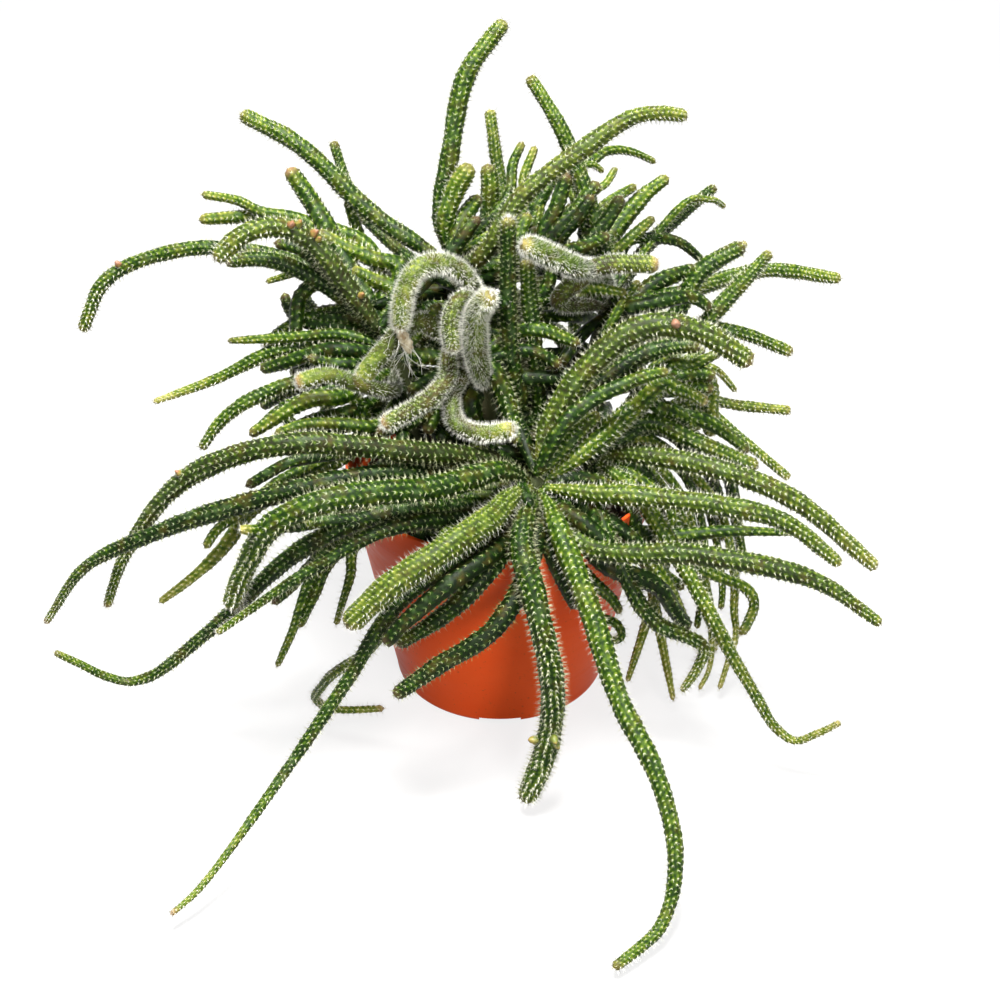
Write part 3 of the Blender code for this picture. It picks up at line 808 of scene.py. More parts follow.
def skin_material(name, sheen, groove_shade_depth):
    """Waxy green skin: deep where old, yellow-green where young, with painted sheen and painted shade."""
    material, nodes, links = new_material(name)
    mottle = noise(nodes, links, 330, detail=4, roughness=0.75)
    flesh = ramp(nodes, links, uneven_ripeness(nodes, links, mottle, 0.22, 0.34, 0.66), SKIN)
    bronze = mapped(nodes, links, noise(nodes, links, 150, detail=3), 0.52, 0.72, 0, 0.32)
    sunned = mixed(nodes, links, bronze, flesh, srgb(*BRONZE))
    # painted sheen: patches of the skin tinted pale bluish-green, as reflections would look
    painted_sheen_share = mapped(nodes, links, noise(nodes, links, 190, detail=2), 0.56, 0.7, 0, 0.3)
    sheen_painted = mixed(nodes, links, painted_sheen_share, sunned, srgb(*PAINTED_SHEEN))
    # painted shade: the grooves between the ribs are darkened towards a dark green
    groove_shade_share = mapped(nodes, links, painted(nodes, "crest"), 0, 1, groove_shade_depth, 0.0)
    ribbed = mixed(nodes, links, groove_shade_share, sheen_painted, srgb(*GROOVE_SHADE))
    rosy = mixed(nodes, links, painted(nodes, "blush"), ribbed, srgb(*ROSY))
    gloss = mapped(nodes, links, noise(nodes, links, 420), 0.3, 0.7, 0.34, 0.55)
    grain = bumped(nodes, links, noise(nodes, links, 900, detail=3), 0.35 * MM, 0.7)
    surface(nodes, links, rosy, gloss, grain, Specular_IOR_Level=0.12, Sheen_Weight=sheen,
            Sheen_Roughness=0.4)
    return material


def wool_material():
    """Wool of the areoles: greenish and thin on old stems and where painted shade darkens the skin, cream on
    young ones.
    """
    material, nodes, links = new_material("areole_wool")
    fresh = ramp(nodes, links, uneven_ripeness(nodes, links, noise(nodes, links, 500), 0.2), WOOL)
    aged = mapped(nodes, links, noise(nodes, links, 90, detail=3), 0.45, 0.65, 0, 0.35)
    surface(nodes, links, mixed(nodes, links, aged, fresh, srgb(*AGED_WOOL)), 0.6, Specular_IOR_Level=0.2)
    return material


def bristle_material():
    """Fine hairs: grey-green and thin on old stems and where painted shade darkens the skin, white on young
    ones.
    """
    material, nodes, links = new_material("bristles")
    colour = ramp(nodes, links, uneven_ripeness(nodes, links, noise(nodes, links, 300), 0.12), BRISTLES)
    surface(nodes, links, colour, 0.5, Specular_IOR_Level=0.2)
    return material


skin = skin_material("stem_skin", 0.0, 0.4)
downy_skin = skin_material("downy_skin", 0.3, 0.12)
wool = wool_material()
bristle = bristle_material()


def ring_places(length, gap):
    """Distances from the foot at which a stem's rings sit, closer together near its growing tip."""
    left = [0.0]
    while left[-1] < length:
        share = TIP_CROWDING + (1 - TIP_CROWDING) * left[-1] / CROWDED_LENGTH
        left.append(left[-1] + gap * min(1, share))
    left[-1] = length
    if length - left[-2] < gap / 3:
        left.pop(-2)
    return length - np.array(left[::-1])


def near_tip(at, length):
    """1 at the stem's tip, and less down to 0 at the length from it."""
    return np.clip(1 - (at[-1] - at) / length, 0, 1)


def stem_radius(at, radius_at, look, chance):
    """The radius along a stem, which wavers a little, narrows and ends round."""
    radius, wavers = radius_at(at, at[-1]) * look["girth"], 1
    for (share, pace), start in zip(WAVERS, chance.uniform(0, 6, len(WAVERS))):
        wavers = wavers + share * np.sin(at * pace + start)
    radius = radius * wavers
    radius = radius * (1 - (1 - look["point"]) * near_tip(at, look["taper"] * at[-1]) ** TAPER_EASE)
    end = near_tip(at, ROUND_END * radius[-1])
    return radius * np.maximum(np.sqrt(1 - end**2), LEAST_END)


def tube_shape(line, radius, at, look, chance):
    """Points of the ribbed tube, ring by ring, the way out at each, and where its areoles sit."""
    forward, across = carried_sides(line)
    ring = np.arange(len(line))[:, None]
    spoke = np.arange(2 * look["ribs"])[None, :]
    twist = chance.uniform(-RIB_TWIST, RIB_TWIST) * at[:, None] + chance.uniform(0, 6)
    turn = math.pi * spoke / look["ribs"] + twist
    turn = turn + RIB_WEAVE * np.sin(at * RIB_WEAVE_PACE + chance.uniform(0, 6))[:, None]
    on_rib = spoke % 2 == 0
    beat = (ring + spoke // 2) % len(TUBERCLE)
    seats = on_rib & (beat == 0)
    turn = turn + seats * chance.uniform(-STRAY_ROUND, STRAY_ROUND, beat.shape)
    knob = np.array(TUBERCLE)[beat] * on_rib * chance.uniform(*KNOB_SIZES, beat.shape)
    size = np.clip(radius / FULL_RADIUS, 0, 1.1)[:, None] * look["tufts"]
    reach = radius[:, None] * np.where(on_rib, 1 + RIB_RISE, 1 - RIB_RISE) + knob * size
    out = ways_out(forward, across, turn)
    shift = seats * chance.uniform(-STRAY_ALONG, STRAY_ALONG, beat.shape) * np.gradient(at)[:, None]
    points = line[:, None] + out * reach[..., None] + forward[:, None] * shift[..., None]
    return points, out, forward, seats


def fans(count, corners):
    """Faces of as many little shapes of four points each; corners gives a shape's faces."""
    return (np.arange(count)[:, None, None] * 4 + corners).reshape(-1, 3)


def spikes(root, grow, width):
    """Fine folded needles from each root along grow, as (points, faces)."""
    cross = unit(np.cross(grow, (0.37, 0.61, 0.7)))
    over = unit(np.cross(grow, cross))
    feet = [root + width * (math.cos(turn) * cross + math.sin(turn) * over) for turn in NEEDLE_CORNERS]
    points = np.stack([*feet, root + grow], axis=1).reshape(-1, 3)
    return points, fans(len(root), [(0, 1, 3), (1, 2, 3)])


def wool_tufts(seat, out, ahead, size, chance):
    """The V of stout cream hairs at each areole, each a low ridge that lies along the skin."""
    side = unit(np.cross(out, ahead))
    points = []
    for hand in (-1, 1):
        spread = hand * TUFT_SPREAD * chance.uniform(0.3, 1.7, len(seat))[:, None]
        lift = np.radians(chance.uniform(*TUFT_LIFT, len(seat)))[:, None]
        along = ahead * np.cos(spread) + side * np.sin(spread)
        reach = TUFT_LENGTH * size * chance.uniform(0.45, 1.15, len(seat))[:, None]
        root = seat + (side * hand - out) * ROOT_DEPTH
        width = TUFT_WIDTH * size * chance.uniform(0.6, 1.2, len(seat))[:, None]
        tip = root + (along * np.cos(lift) + out * np.sin(lift)) * reach
        across = unit(np.cross(out, along)) * width
        ridge = np.stack([root - across, root + out * width * TUFT_RIDGE, root + across, tip], axis=1)
        points.append(ridge.reshape(-1, 3))
    return np.vstack(points), fans(2 * len(seat), [(3, 1, 0), (3, 2, 1)])


def loose_hairs(seat, out, ahead, count, look, chance):
    """Fine bristles that stand out from the stem and lean towards its tip, count at each seat."""
    side = unit(np.cross(out, ahead))
    root, grow = [np.empty((0, 3))], [np.empty((0, 3))]
    for _ in range(count):
        rise = np.radians(chance.uniform(*look["lean"], len(seat)))[:, None]
        sway = np.radians(chance.uniform(-look["fan"], look["fan"], len(seat)))[:, None]
        along = ahead * np.cos(sway) + side * np.sin(sway)
        length = look["hair"] * MM * chance.uniform(*HAIR_LENGTHS, len(seat))[:, None]
        grow.append((along * np.cos(rise) + out * np.sin(rise)) * length)
        root.append(seat - out * ROOT_DEPTH)
    return np.concatenate(root), np.concatenate(grow)


def downy_coat(shape, out, forward, radius, length, look, chance):
    """Hairs from anywhere on the skin: their roots, how they grow, and the ring each is by."""
    rings, around = shape.shape[:2]
    area = 2 * math.pi * radius.mean() * length / MM**2
    picked = chance.choice(rings, int(area * look["coat"]), p=radius / radius.sum())
    turn = chance.integers(0, around, len(picked))
    after = (turn + 1) % around
    between = chance.uniform(0, 1, (len(picked), 1))
    spot = shape[picked, turn] * (1 - between) + shape[picked, after] * between
    outward = unit(out[picked, turn] * (1 - between) + out[picked, after] * between)
    spot = spot + forward[picked] * chance.uniform(0, 1, len(picked))[:, None] * MM
    return *loose_hairs(spot, outward, forward[picked], 1, look, chance), picked


def tip_brush(shape, out, forward, count, chance):
    """Bristles round the growing point: their roots, how they grow, and the ring each is on."""
    rings, around = shape.shape[:2]
    turn = chance.integers(0, around, count)
    last = rings - 1 - chance.integers(0, 2, count)
    stray = chance.uniform(-TIP_STRAY, TIP_STRAY, (count, 3))
    way = unit(forward[last] + TIP_SPLAY * out[last, turn] + stray)
    return shape[last, turn], way * chance.uniform(*TIP_BRISTLE, (count, 1)) * MM, last


def paint(mesh, name, values):
    """Paints the values on the mesh's first points, and 0 on the rest."""
    coat = np.zeros(len(mesh.vertices), np.float32)
    coat[: len(values)] = values
    mesh.attributes.new(name, "FLOAT", "POINT").data.foreach_set("value", coat)


stem_lines = {}


def grow_stem(name, points, radius_at, look, node=None):
    """One stem along the points: skin, wool and bristles in one piece."""
    look = {**STEM, **look}
    chance = np.random.default_rng([ord(c) for c in name])
    smooth, along = smooth_through(points, STEM_STEP)
    at = ring_places(along[-1], AREOLE_PITCH * look["pitch"] / len(TUBERCLE))
    line = resampled(smooth, along, at)
    radius = stem_radius(at, radius_at, look, chance)
    stem_lines[name] = line, radius
    shape, out, forward, seats = tube_shape(line, radius, at, look, chance)
    rings, around = shape.shape[:2]
    ripe = look["shade"] + chance.uniform(-RIPENESS_SPREAD, RIPENESS_SPREAD)
    # the foot: by default painted shade, darker where the stems crowd into their crown; above 0, a paler base
    ripe = ripe + look["foot"] * np.exp(-at / FOOT_LENGTH)
    ripe = ripe + look["tip"] * near_tip(at, look["tip_length"] * MM) ** RIPENING_EASE

    ring, spoke = np.nonzero(seats)
    areole = shape[ring, spoke], out[ring, spoke], forward[ring]
    size = np.clip(radius[ring] / FULL_RADIUS, *TUFT_SIZES)[:, None] * look["tufts"]
    tufts, tuft_faces = wool_tufts(*areole, size, chance)
    groups = [(*loose_hairs(*areole, look["bristles"], look, chance), np.tile(ripe[ring], look["bristles"]))]
    if look["coat"]:
        root, grow, by = downy_coat(shape, out, forward, radius, at[-1], look, chance)
        groups.append((root, grow, ripe[by] + COAT_WHITER))
    root, grow, by = tip_brush(shape, out, forward, look["brush"], chance)
    groups.append((root, grow, ripe[by] + TIP_WHITER))
    root, grow, whiteness = [np.concatenate(parts) for parts in zip(*groups)]
    hairs, hair_faces = spikes(root, grow, BRISTLE_WIDTH * look["fine"])

    body = shape.reshape(-1, 3)
    faces = tube_faces(rings, around)
    kinds = [0] * len(faces) + [1] * len(tuft_faces) + [2] * len(hair_faces)
    faces += (tuft_faces + len(body)).tolist() + (hair_faces + len(body) + len(tufts)).tolist()
    materials = [downy_skin if look["coat"] else skin, wool, bristle]
    mesh = mesh_of(name, np.vstack([body, tufts, hairs]).tolist(), faces, materials, kinds)
    scaly = np.where(seats, SCALE_CONTRAST, -SCALE_CONTRAST * 0.5) * look["scaly"]
    # the two hairs of each tuft, then the bristles, with four points in each
    hairy = np.repeat(np.concatenate([ripe[ring], ripe[ring], whiteness]), 4)
    paint(mesh, "ripeness", np.concatenate([(ripe[:, None] + scaly).ravel(), hairy]))
    paint(mesh, "crest", np.tile(np.arange(around) % 2 == 0, rings))
    rosy = np.maximum(look["blush"] * near_tip(at, BLUSH_LENGTH), look["tan"])
    paint(mesh, "blush", np.repeat(rosy, around))
    stem = placed(name, mesh)
    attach(stem, "root")
    if node:
        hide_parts(node)


# the slot each CAD node is listed under, and what the stems of a slot have in common
slot_of = {part["node"]: part["material_slot"] for part in frame["record"]["subparts"]}
FRAME_LOOKS = {
    "stem_fresh": dict(shade=0.45, hair=2.5, bristles=4, brush=16),
    "stem_green": dict(shade=0.35, bristles=3, brush=16),
    "stem_deep": dict(shade=0.21, tip=0.15, bristles=2, brush=16),
}
PALE_TIP = dict(tip=0.45, tip_length=30, bristles=4, point=0.7)
STEM_LOOKS = {
    "young_stem_1": dict(WOOLLY, coat=3.2, hair=2.1, shade=0.56, scaly=0.5),
    "young_stem_2": dict(WOOLLY, coat=2.4, tufts=0.7, scaly=0.8, shade=0.48, tip=0.2, tip_length=24),
    "young_stem_3": dict(WOOLLY, coat=3.0, shade=0.56, blush=0.35, scaly=0.5),
    "young_stem_4": dict(WOOLLY, coat=1.7, tufts=0.8, bristles=1, scaly=1.0, shade=0.45, blush=1.0, tip=0.3,
                         tip_length=14, brush=120),
    "young_stem_5": dict(WOOLLY, coat=3.0, blush=0.3, tip=0.42, tip_length=18, brush=200),
    "young_stem_6": dict(shade=0.24, point=0.95, tip=0.4, tip_length=8, bristles=4, blush=0.3, brush=140),
    "young_stem_7": dict(point=0.9, tip=0.1),
    "far_stem_7": dict(WOOLLY, coat=0.9, shade=0.28, tip=0.34, tip_length=20, hair=1.8, blush=0.8,
                       scaly=1.0),
    "left_stem_6": dict(WOOLLY, coat=0.9, shade=0.42, tip=0.3, tip_length=20, hair=1.9, blush=0.9),
    "front_stem_1": dict(point=0.8, tip=0.25, tip_length=40),
    "front_stem_2": dict(shade=0.47, point=0.92, ribs=13, pitch=0.7, tufts=0.45, bristles=2, tip=0.14,
                         tip_length=50, blush=0.5, tan=0.03, foot=0.08),
    "front_stem_3": dict(point=0.9, taper=0.2, ribs=12, pitch=0.8, tufts=0.8, bristles=6, lean=(50, 100),
                         hair=2.4, shade=0.36),
    "front_stem_4": dict(point=0.42, taper=0.75, foot=0.1, shade=0.46, tufts=0.8),
    "front_stem_5": dict(point=0.6, foot=0.12, tan=0.02, shade=0.46),
    "front_stem_6": dict(point=0.5, foot=0.08, tan=0.02, shade=0.46),
    "front_stem_7": dict(point=0.5, tip=0.12, tip_length=40, foot=0.14),
    "front_stem_8": dict(point=0.8, tip=0.15, shade=0.4, blush=0.5, tan=0.03, bristles=4, foot=0.06),
    "front_stem_9": dict(SLENDER, tip=0.35, tip_length=80),
    "front_stem_10": dict(SLENDER, shade=0.3, tip=0.4, tip_length=50),
    "front_stem_13": dict(point=0.3, taper=0.9, tip=0.4, tip_length=90, blush=0.8),
    "front_stem_14": dict(point=0.4, taper=0.4, tip=0.3, tip_length=70, blush=0.7, tan=0.02),
    "front_stem_15": dict(point=0.35, taper=0.5, shade=0.28, tip=0.4, tip_length=70, blush=0.9),
    "right_stem_1": dict(PALE_TIP, tip=0.25, tan=0.03),
    "right_stem_3": dict(SLENDER, tip=0.35, tip_length=40),
    "right_stem_4": dict(point=0.45, taper=0.3, tip=0.45, tip_length=40, bristles=4),
    "right_stem_6": dict(point=0.9, tip=0.2, tan=0.03),
    "left_stem_1": dict(shade=0.34, point=0.85, tip=0.28, tip_length=60, tan=0.03),
    "left_stem_2": dict(point=0.9, tip=0.2, bristles=5),
    "left_stem_3": dict(SLENDER, tip=0.5, tip_length=40),
    "far_stem_3": dict(point=0.9, shade=0.24, tip=0.1, bristles=4),
    "far_stem_4": dict(point=0.6, shade=0.42, tip=0.15, pitch=0.75, bristles=5),
    "far_stem_5": dict(point=0.75, girth=1.25, shade=0.38, tip=0.2, pitch=0.8),
    "far_stem_6": dict(point=0.8, shade=0.4, tip=0.2, bristles=4, blush=0.4),
    "top_stem_1": dict(point=0.85, bristles=4),
    "top_stem_3": dict(point=0.85),
    "top_stem_4": dict(tan=0.04, bristles=4),
    "top_stem_5": dict(point=0.97, tip=0.2, bristles=4),
}

# how much lighter the stems of each crown are painted: painted light on the outer crowns, painted shade on
# the front and young crowns in the middle
CROWN_PAINTED_LIGHT = {
    "front": -0.09, "right": 0.14, "left": 0.02, "top": 0.1, "far": 0.04, "young": -0.06, "back": 0.0,
}
# how deep a stem's foot sits in its crown, and the share of its CAD radius that the flesh takes
ROOTED = 4 * MM
FLESH_SHARE = 0.9


def dress_frame_stems():
    for node in sorted(n for n in frame["nodes"] if "_stem_" in n):
        rings, radii = centre_line(node, STEM_SIDES)
        rings = np.vstack([rings[0] - unit(rings[1] - rings[0]) * ROOTED, rings])
        full = np.maximum.accumulate(np.concatenate([radii[:1], radii])) * FLESH_SHARE
        spaced = distances(rings)

        def radius_at(at, length, spaced=spaced, full=full):
            return np.interp(at / length, spaced / spaced[-1], full)

        slot = slot_of[node]
        look = {**FRAME_LOOKS[slot], **STEM_LOOKS.get(node, {})}
        # the crown's painted light and shade, added to the stem's skin
        look["shade"] += CROWN_PAINTED_LIGHT[node.split("_")[0]]
        grow_stem("hairy_" + node, rings, radius_at, look, node)


dress_frame_stems()

# ---------------------------------------------------------------------------
# The smaller shoots: thinner stems that fill the plant between the long ones,
# and the ones that hang over the rim. Each grows from the crown it names and
# follows its own bends, given in mm from the pot's axis at table height.
# ---------------------------------------------------------------------------
NECK_SHARE = 0.62
NECK = 14 * MM
START_BELOW = 4 * MM
THIN = dict(ribs=7, pitch=1.0, bristles=2, foot=-0.08)
PALE = dict(THIN, shade=0.4, tip=0.16, point=0.7, bristles=3)
YELLOW_TIP = dict(THIN, shade=0.34, tip=0.28, tip_length=40, point=0.5)
BROWN_TIP = dict(THIN, tip_length=18, blush=0.8, point=0.8)
DARK = dict(THIN, shade=0.16, tip=0.15, point=0.75, pitch=1.15, bristles=1)
PLAIN = dict(THIN, point=0.65)
STOUT = dict(ribs=9, bristles=2, point=0.95)
POINTED = dict(THIN, shade=0.42, tip=0.3, tip_length=50, point=0.5, taper=0.3)

# for each crown, its shoots: radius in mm, look, and the bends
SHOOTS = {
    # over the front crown
    "front": [
        (3.3, DARK, (-1, -68, 102), (-16, -82, 99), (-33, -90, 87), (-41, -92, 78)),
        (2.5, dict(THIN, shade=0.26, tip=0.5, tip_length=14), (-11, -44, 105), (-25, -50, 107),
         (-50, -58, 109), (-63, -62, 110), (-72, -66, 112)),
        (2.6, DARK, (17, -50, 98), (18, -56, 94), (22, -60, 85), (28, -62, 71)),
        (3.4, DARK, (22, -42, 102), (37, -58, 90), (57, -56, 78), (65, -54, 65), (71, -52, 54)),
        (2.9, DARK, (26, -33, 110), (37, -32, 107), (48, -31, 101)),
        (2.9, PALE, (24, -30, 122), (31, -24, 127), (37, -20, 130)),
        (2.8, PLAIN, (22, -34, 132), (33, -26, 139), (51, -20, 145), (62, -16, 146)),
        (2.6, DARK, (9, -26, 121), (4, -16, 131), (-4, -10, 138)),
        (2.1, dict(PALE, shade=0.36, bristles=6), (18, -44, 94), (28, -46, 72), (36, -46, 57),
         (44, -50, 55), (46, -52, 50), (40, -52, 48)),
        (2.6, dict(PLAIN, shade=0.34, bristles=5), (24, -42, 92), (37, -50, 84), (46, -54, 79),
         (52, -56, 72)),
        (2.4, dict(PLAIN, shade=0.3, bristles=5), (22, -42, 88), (33, -52, 78), (41, -56, 72),
         (45, -58, 66)),
        (2.1, POINTED, (-10, -42, 108), (-34, -38, 106), (-53, -44, 90), (-56, -48, 76), (-59, -50, 66),
         (-62, -52, 56)),
        (2.2, POINTED, (-8, -38, 110), (-44, -34, 108), (-63, -46, 92), (-72, -50, 73), (-78, -53, 55),
         (-85, -56, 39)),
        (1.9, dict(PALE, shade=0.6, tip=0.3, tip_length=50, blush=0.6), (-14, -52, 106), (-25, -72, 100),
         (-35, -76, 87), (-43, -72, 67), (-52, -66, 52), (-63, -60, 39), (-69, -54, 27), (-72, -48, 17),
         (-68, -44, 9), (-61, -42, 6), (-46, -40, 5)),
        (3.0, DARK, (24, -38, 105), (35, -44, 102), (47, -48, 95), (55, -50, 87)),
        (3.0, DARK, (23, -49, 106), (33, -56, 103), (43, -60, 94)),
        (2.4, PLAIN, (-44, -40, 102), (-63, -46, 82), (-69, -50, 70), (-76, -52, 55)),
        (2.4, DARK, (-44, -36, 102), (-71, -44, 78), (-78, -46, 70), (-86, -48, 63)),
        (2.5, DARK, (-12, -30, 112), (-37, -28, 120), (-62, -34, 121), (-77, -38, 120), (-87, -40, 115),
         (-93, -42, 112)),
    ],
    # the right side, and what hangs over the rim there
    "right": [
        (3.0, dict(PLAIN, point=0.5), (46, -42, 90), (59, -46, 77), (66, -48, 65), (71, -50, 53)),
        (3.3, dict(DARK, point=0.3, taper=0.6), (38, -30, 89), (60, -34, 84), (86, -36, 88),
         (112, -36, 87)),
        (2.9, dict(PLAIN, tip=0.4, tip_length=12, blush=0.7), (58, -12, 137), (65, -10, 135), (72, -8, 131),
         (78, -6, 126)),
        (3.1, DARK, (59, 0, 131), (68, 4, 132), (76, 6, 132), (82, 6, 130)),
        (2.6, DARK, (48, -30, 98), (53, -36, 77), (62, -38, 70), (70, -40, 64)),
        (2.4, DARK, (62, 4, 134), (72, 6, 135), (78, 8, 137), (84, 10, 139)),
        (3.0, DARK, (57, 0, 125), (67, 4, 126), (75, 6, 126), (82, 6, 125)),
        (3.0, DARK, (53, -4, 125), (62, -2, 121), (69, 0, 117), (77, 2, 110)),
        (2.4, PALE, (50, -18, 103), (66, -20, 84), (74, -20, 63), (86, -20, 55), (96, -20, 50),
         (100, -22, 44), (98, -24, 36), (95, -26, 31)),
        (2.1, POINTED, (48, -20, 104), (64, -26, 92), (64, -26, 70), (61, -22, 49), (57, -24, 32),
         (51, -28, 9)),
        (2.1, POINTED, (46, -16, 104), (62, -18, 94), (62, -16, 70), (60, -18, 50), (63, -24, 33),
         (69, -36, 6)),
        (1.7, DARK, (52, -6, 106), (70, -4, 94), (79, -4, 71), (81, -10, 49), (79, -14, 25)),
        (1.6, DARK, (54, 0, 108), (76, 2, 88), (86, 0, 59), (89, -6, 41), (89, -8, 30)),
        (1.8, POINTED, (54, -8, 104), (72, -8, 82), (78, -9, 55), (80, -10, 36), (86, -14, 22),
         (87, -16, 15)),
        (1.8, POINTED, (56, 0, 106), (84, 0, 78), (93, -6, 50), (94, -10, 31), (95, -14, 22), (92, -20, 14),
         (88, -28, 5)),
        (1.7, POINTED, (54, -12, 102), (74, -14, 72), (83, -16, 40), (85, -18, 20), (84, -22, 10),
         (80, -27, 4)),
        (2.4, DARK, (50, -18, 106), (57, -20, 100), (59, -22, 89), (63, -24, 82)),
        (2.6, DARK, (60, 6, 110), (78, 10, 99), (91, 16, 79), (97, 18, 51), (100, 18, 36)),
        (2.4, DARK, (58, 4, 108), (74, 6, 97), (86, 10, 76), (90, 12, 50)),
        (2.8, DARK, (59, -2, 116), (76, 2, 114), (89, 2, 106), (96, 0, 100)),
        (3.1, dict(PLAIN, point=0.85), (66, 12, 127), (77, 12, 129), (81, 12, 123), (82, 11, 112),
         (82, 10, 101)),
        (1.8, PLAIN, (61, 12, 134), (73, 18, 129), (84, 22, 124), (93, 26, 112)),
    ],
    # the left side
    "left": [
        (2.8, PLAIN, (-61, 30, 145), (-80, 34, 138), (-93, 32, 129)),
        (3.0, PLAIN, (-58, -14, 134), (-72, -18, 134), (-93, -24, 123)),
        (3.0, PALE, (-48, 40, 164), (-64, 50, 170), (-92, 58, 172), (-118, 60, 170)),
        (2.2, PALE, (-70, 46, 172), (-92, 52, 177), (-102, 60, 178), (-117, 66, 178)),
        (3.7, BROWN_TIP, (-63, 40, 169), (-67, 45, 175), (-74, 55, 182), (-82, 62, 191)),
        (3.3, PALE, (-38, 30, 163), (-48, 34, 166), (-59, 38, 169), (-70, 42, 174)),
        (3.1, PLAIN, (-40, 24, 157), (-48, 28, 160), (-57, 30, 164)),
        (2.0, YELLOW_TIP, (-60, 32, 160), (-73, 36, 161), (-82, 38, 157), (-91, 40, 153)),
        (2.1, YELLOW_TIP, (-60, 16, 143), (-77, 18, 141), (-90, 20, 139), (-105, 22, 137)),
        (2.5, DARK, (-56, 20, 142), (-74, 30, 140), (-82, 40, 140), (-85, 46, 145)),
        (2.5, DARK, (-54, 22, 146), (-68, 30, 143), (-75, 40, 143), (-78, 46, 148)),
        (2.4, DARK, (-50, 8, 132), (-65, 10, 130), (-75, 14, 130), (-82, 18, 130)),
        (2.5, PLAIN, (-45, -20, 125), (-58, -24, 128), (-72, -26, 129), (-83, -28, 126)),
        (2.5, PLAIN, (-48, -14, 120), (-62, -26, 116), (-81, -34, 109), (-92, -38, 101), (-104, -42, 94),
         (-110, -44, 86)),
        (2.6, dict(POINTED, shade=0.5, tip=0.2, tip_length=90, blush=0), (-46, -12, 116), (-60, -24, 112),
         (-80, -30, 103), (-93, -34, 96), (-104, -38, 82), (-115, -42, 72), (-129, -46, 62)),
        (2.4, dict(THIN, shade=0.24, tip=0.6, tip_length=14, blush=0.2), (-48, -30, 108), (-64, -60, 110),
         (-82, -70, 113), (-87, -74, 115), (-91, -78, 118)),
        (2.6, PLAIN, (-54, -8, 133), (-53, -10, 128), (-49, -14, 121), (-43, -18, 117)),
        (2.8, DARK, (-66, 34, 155), (-77, 34, 150), (-79, 28, 138), (-80, 22, 120)),
        (2.9, DARK, (-59, 8, 141), (-68, 9, 140), (-80, 10, 135), (-92, 14, 129)),
        (2.6, DARK, (-58, 0, 132), (-70, 2, 131), (-84, 4, 123), (-92, 6, 117)),
        (2.6, DARK, (-65, 30, 163), (-76, 32, 171), (-86, 34, 173)),
        (2.8, DARK, (-62, -4, 130), (-76, -4, 125), (-85, -4, 120), (-91, -6, 115)),
        (2.8, DARK, (-56, -14, 127), (-71, -16, 124), (-82, -18, 119)),
        (2.6, DARK, (-59, 4, 137), (-66, 6, 137), (-73, 6, 139)),
        (2.6, DARK, (-58, -16, 122), (-75, -16, 120), (-79, -14, 123), (-84, -12, 126)),
    ],
    # the young crown in the middle
    "young": [
        (3.7, dict(WOOLLY, coat=1.0, shade=0.4, tip=0.35, tip_length=22), (-29, -6, 161), (-42, -14, 154),
         (-52, -18, 142)),
        (3.1, PALE, (-37, -8, 149), (-32, -6, 155), (-22, -2, 166)),
        (3.0, DARK, (-17, 6, 132), (-26, 4, 130), (-35, 2, 126)),
        (2.8, DARK, (-8, 14, 160), (-23, 24, 164), (-17, 30, 173), (-8, 36, 183)),
        (2.8, PLAIN, (4, 4, 150), (15, 2, 153), (30, 0, 148)),
        (2.6, DARK, (6, -2, 146), (14, -3, 146), (23, -4, 141)),
        (3.8, DARK, (-11, -13, 132), (-9, -16, 120), (-7, -21, 112)),
        (3.4, dict(PLAIN, ribs=9, foot=0, bristles=3), (-3, -15, 146), (2, -18, 135), (7, -26, 120)),
        (3.4, DARK, (-17, -12, 140), (-22, -13, 131), (-28, -18, 120)),
        (3.0, DARK, (-20, -12, 130), (-33, -18, 126), (-47, -24, 124)),
        (3.2, DARK, (-12, 4, 143), (-24, 16, 143), (-34, 14, 141)),
        (3.0, DARK, (8, -3, 135), (22, -3, 135), (34, 0, 136)),
        (3.2, DARK, (-6, 12, 140), (-17, 14, 154), (-23, 15, 155), (-30, 17, 154), (-35, 18, 154)),
        (3.0, DARK, (-10, 6, 140), (-19, 6, 144), (-26, 8, 147), (-33, 10, 148)),
        (3.4, DARK, (-4, 10, 134), (-17, 12, 128), (-23, 13, 127), (-29, 14, 127), (-37, 16, 128)),
    ],
    # the top crown
    "top": [
        (3.6, dict(STOUT, shade=0.36), (-21, 42, 177), (-17, 46, 189), (-11, 48, 199)),
        (3.4, dict(STOUT, shade=0.2), (-6, 58, 166), (-4, 64, 181), (-5, 68, 190)),
        (2.1, PALE, (8, 60, 172), (9, 70, 182), (14, 78, 193)),
        (2.1, DARK, (2, 62, 177), (5, 74, 187), (9, 80, 194)),
        (2.6, DARK, (16, 50, 157), (20, 56, 164), (29, 62, 176)),
        (2.6, PLAIN, (12, 44, 160), (14, 50, 170), (16, 58, 181)),
        (2.5, DARK, (-50, 50, 157), (-55, 58, 163), (-60, 66, 176)),
        (3.2, DARK, (-18, 36, 171), (-14, 44, 178), (-8, 52, 184)),
        (3.2, DARK, (8, 46, 164), (14, 56, 177), (22, 64, 189)),
        (3.0, DARK, (8, 36, 164), (8, 42, 172), (11, 48, 179)),
    ],
    # the far crown
    "far": [
        (3.5, PLAIN, (43, 60, 159), (55, 74, 171), (67, 82, 178)),
        (2.0, PLAIN, (30, 70, 180), (39, 84, 186), (46, 90, 186), (54, 94, 183), (63, 98, 177)),
        (1.8, PLAIN, (27, 66, 184), (35, 74, 187), (41, 78, 182)),
        (1.8, PALE, (35, 66, 173), (42, 74, 179), (46, 80, 183)),
        (2.5, PLAIN, (33, 56, 165), (39, 64, 171), (45, 70, 174), (54, 76, 177)),
        (2.4, PLAIN, (41, 45, 159), (47, 48, 164), (54, 52, 169), (60, 56, 173)),
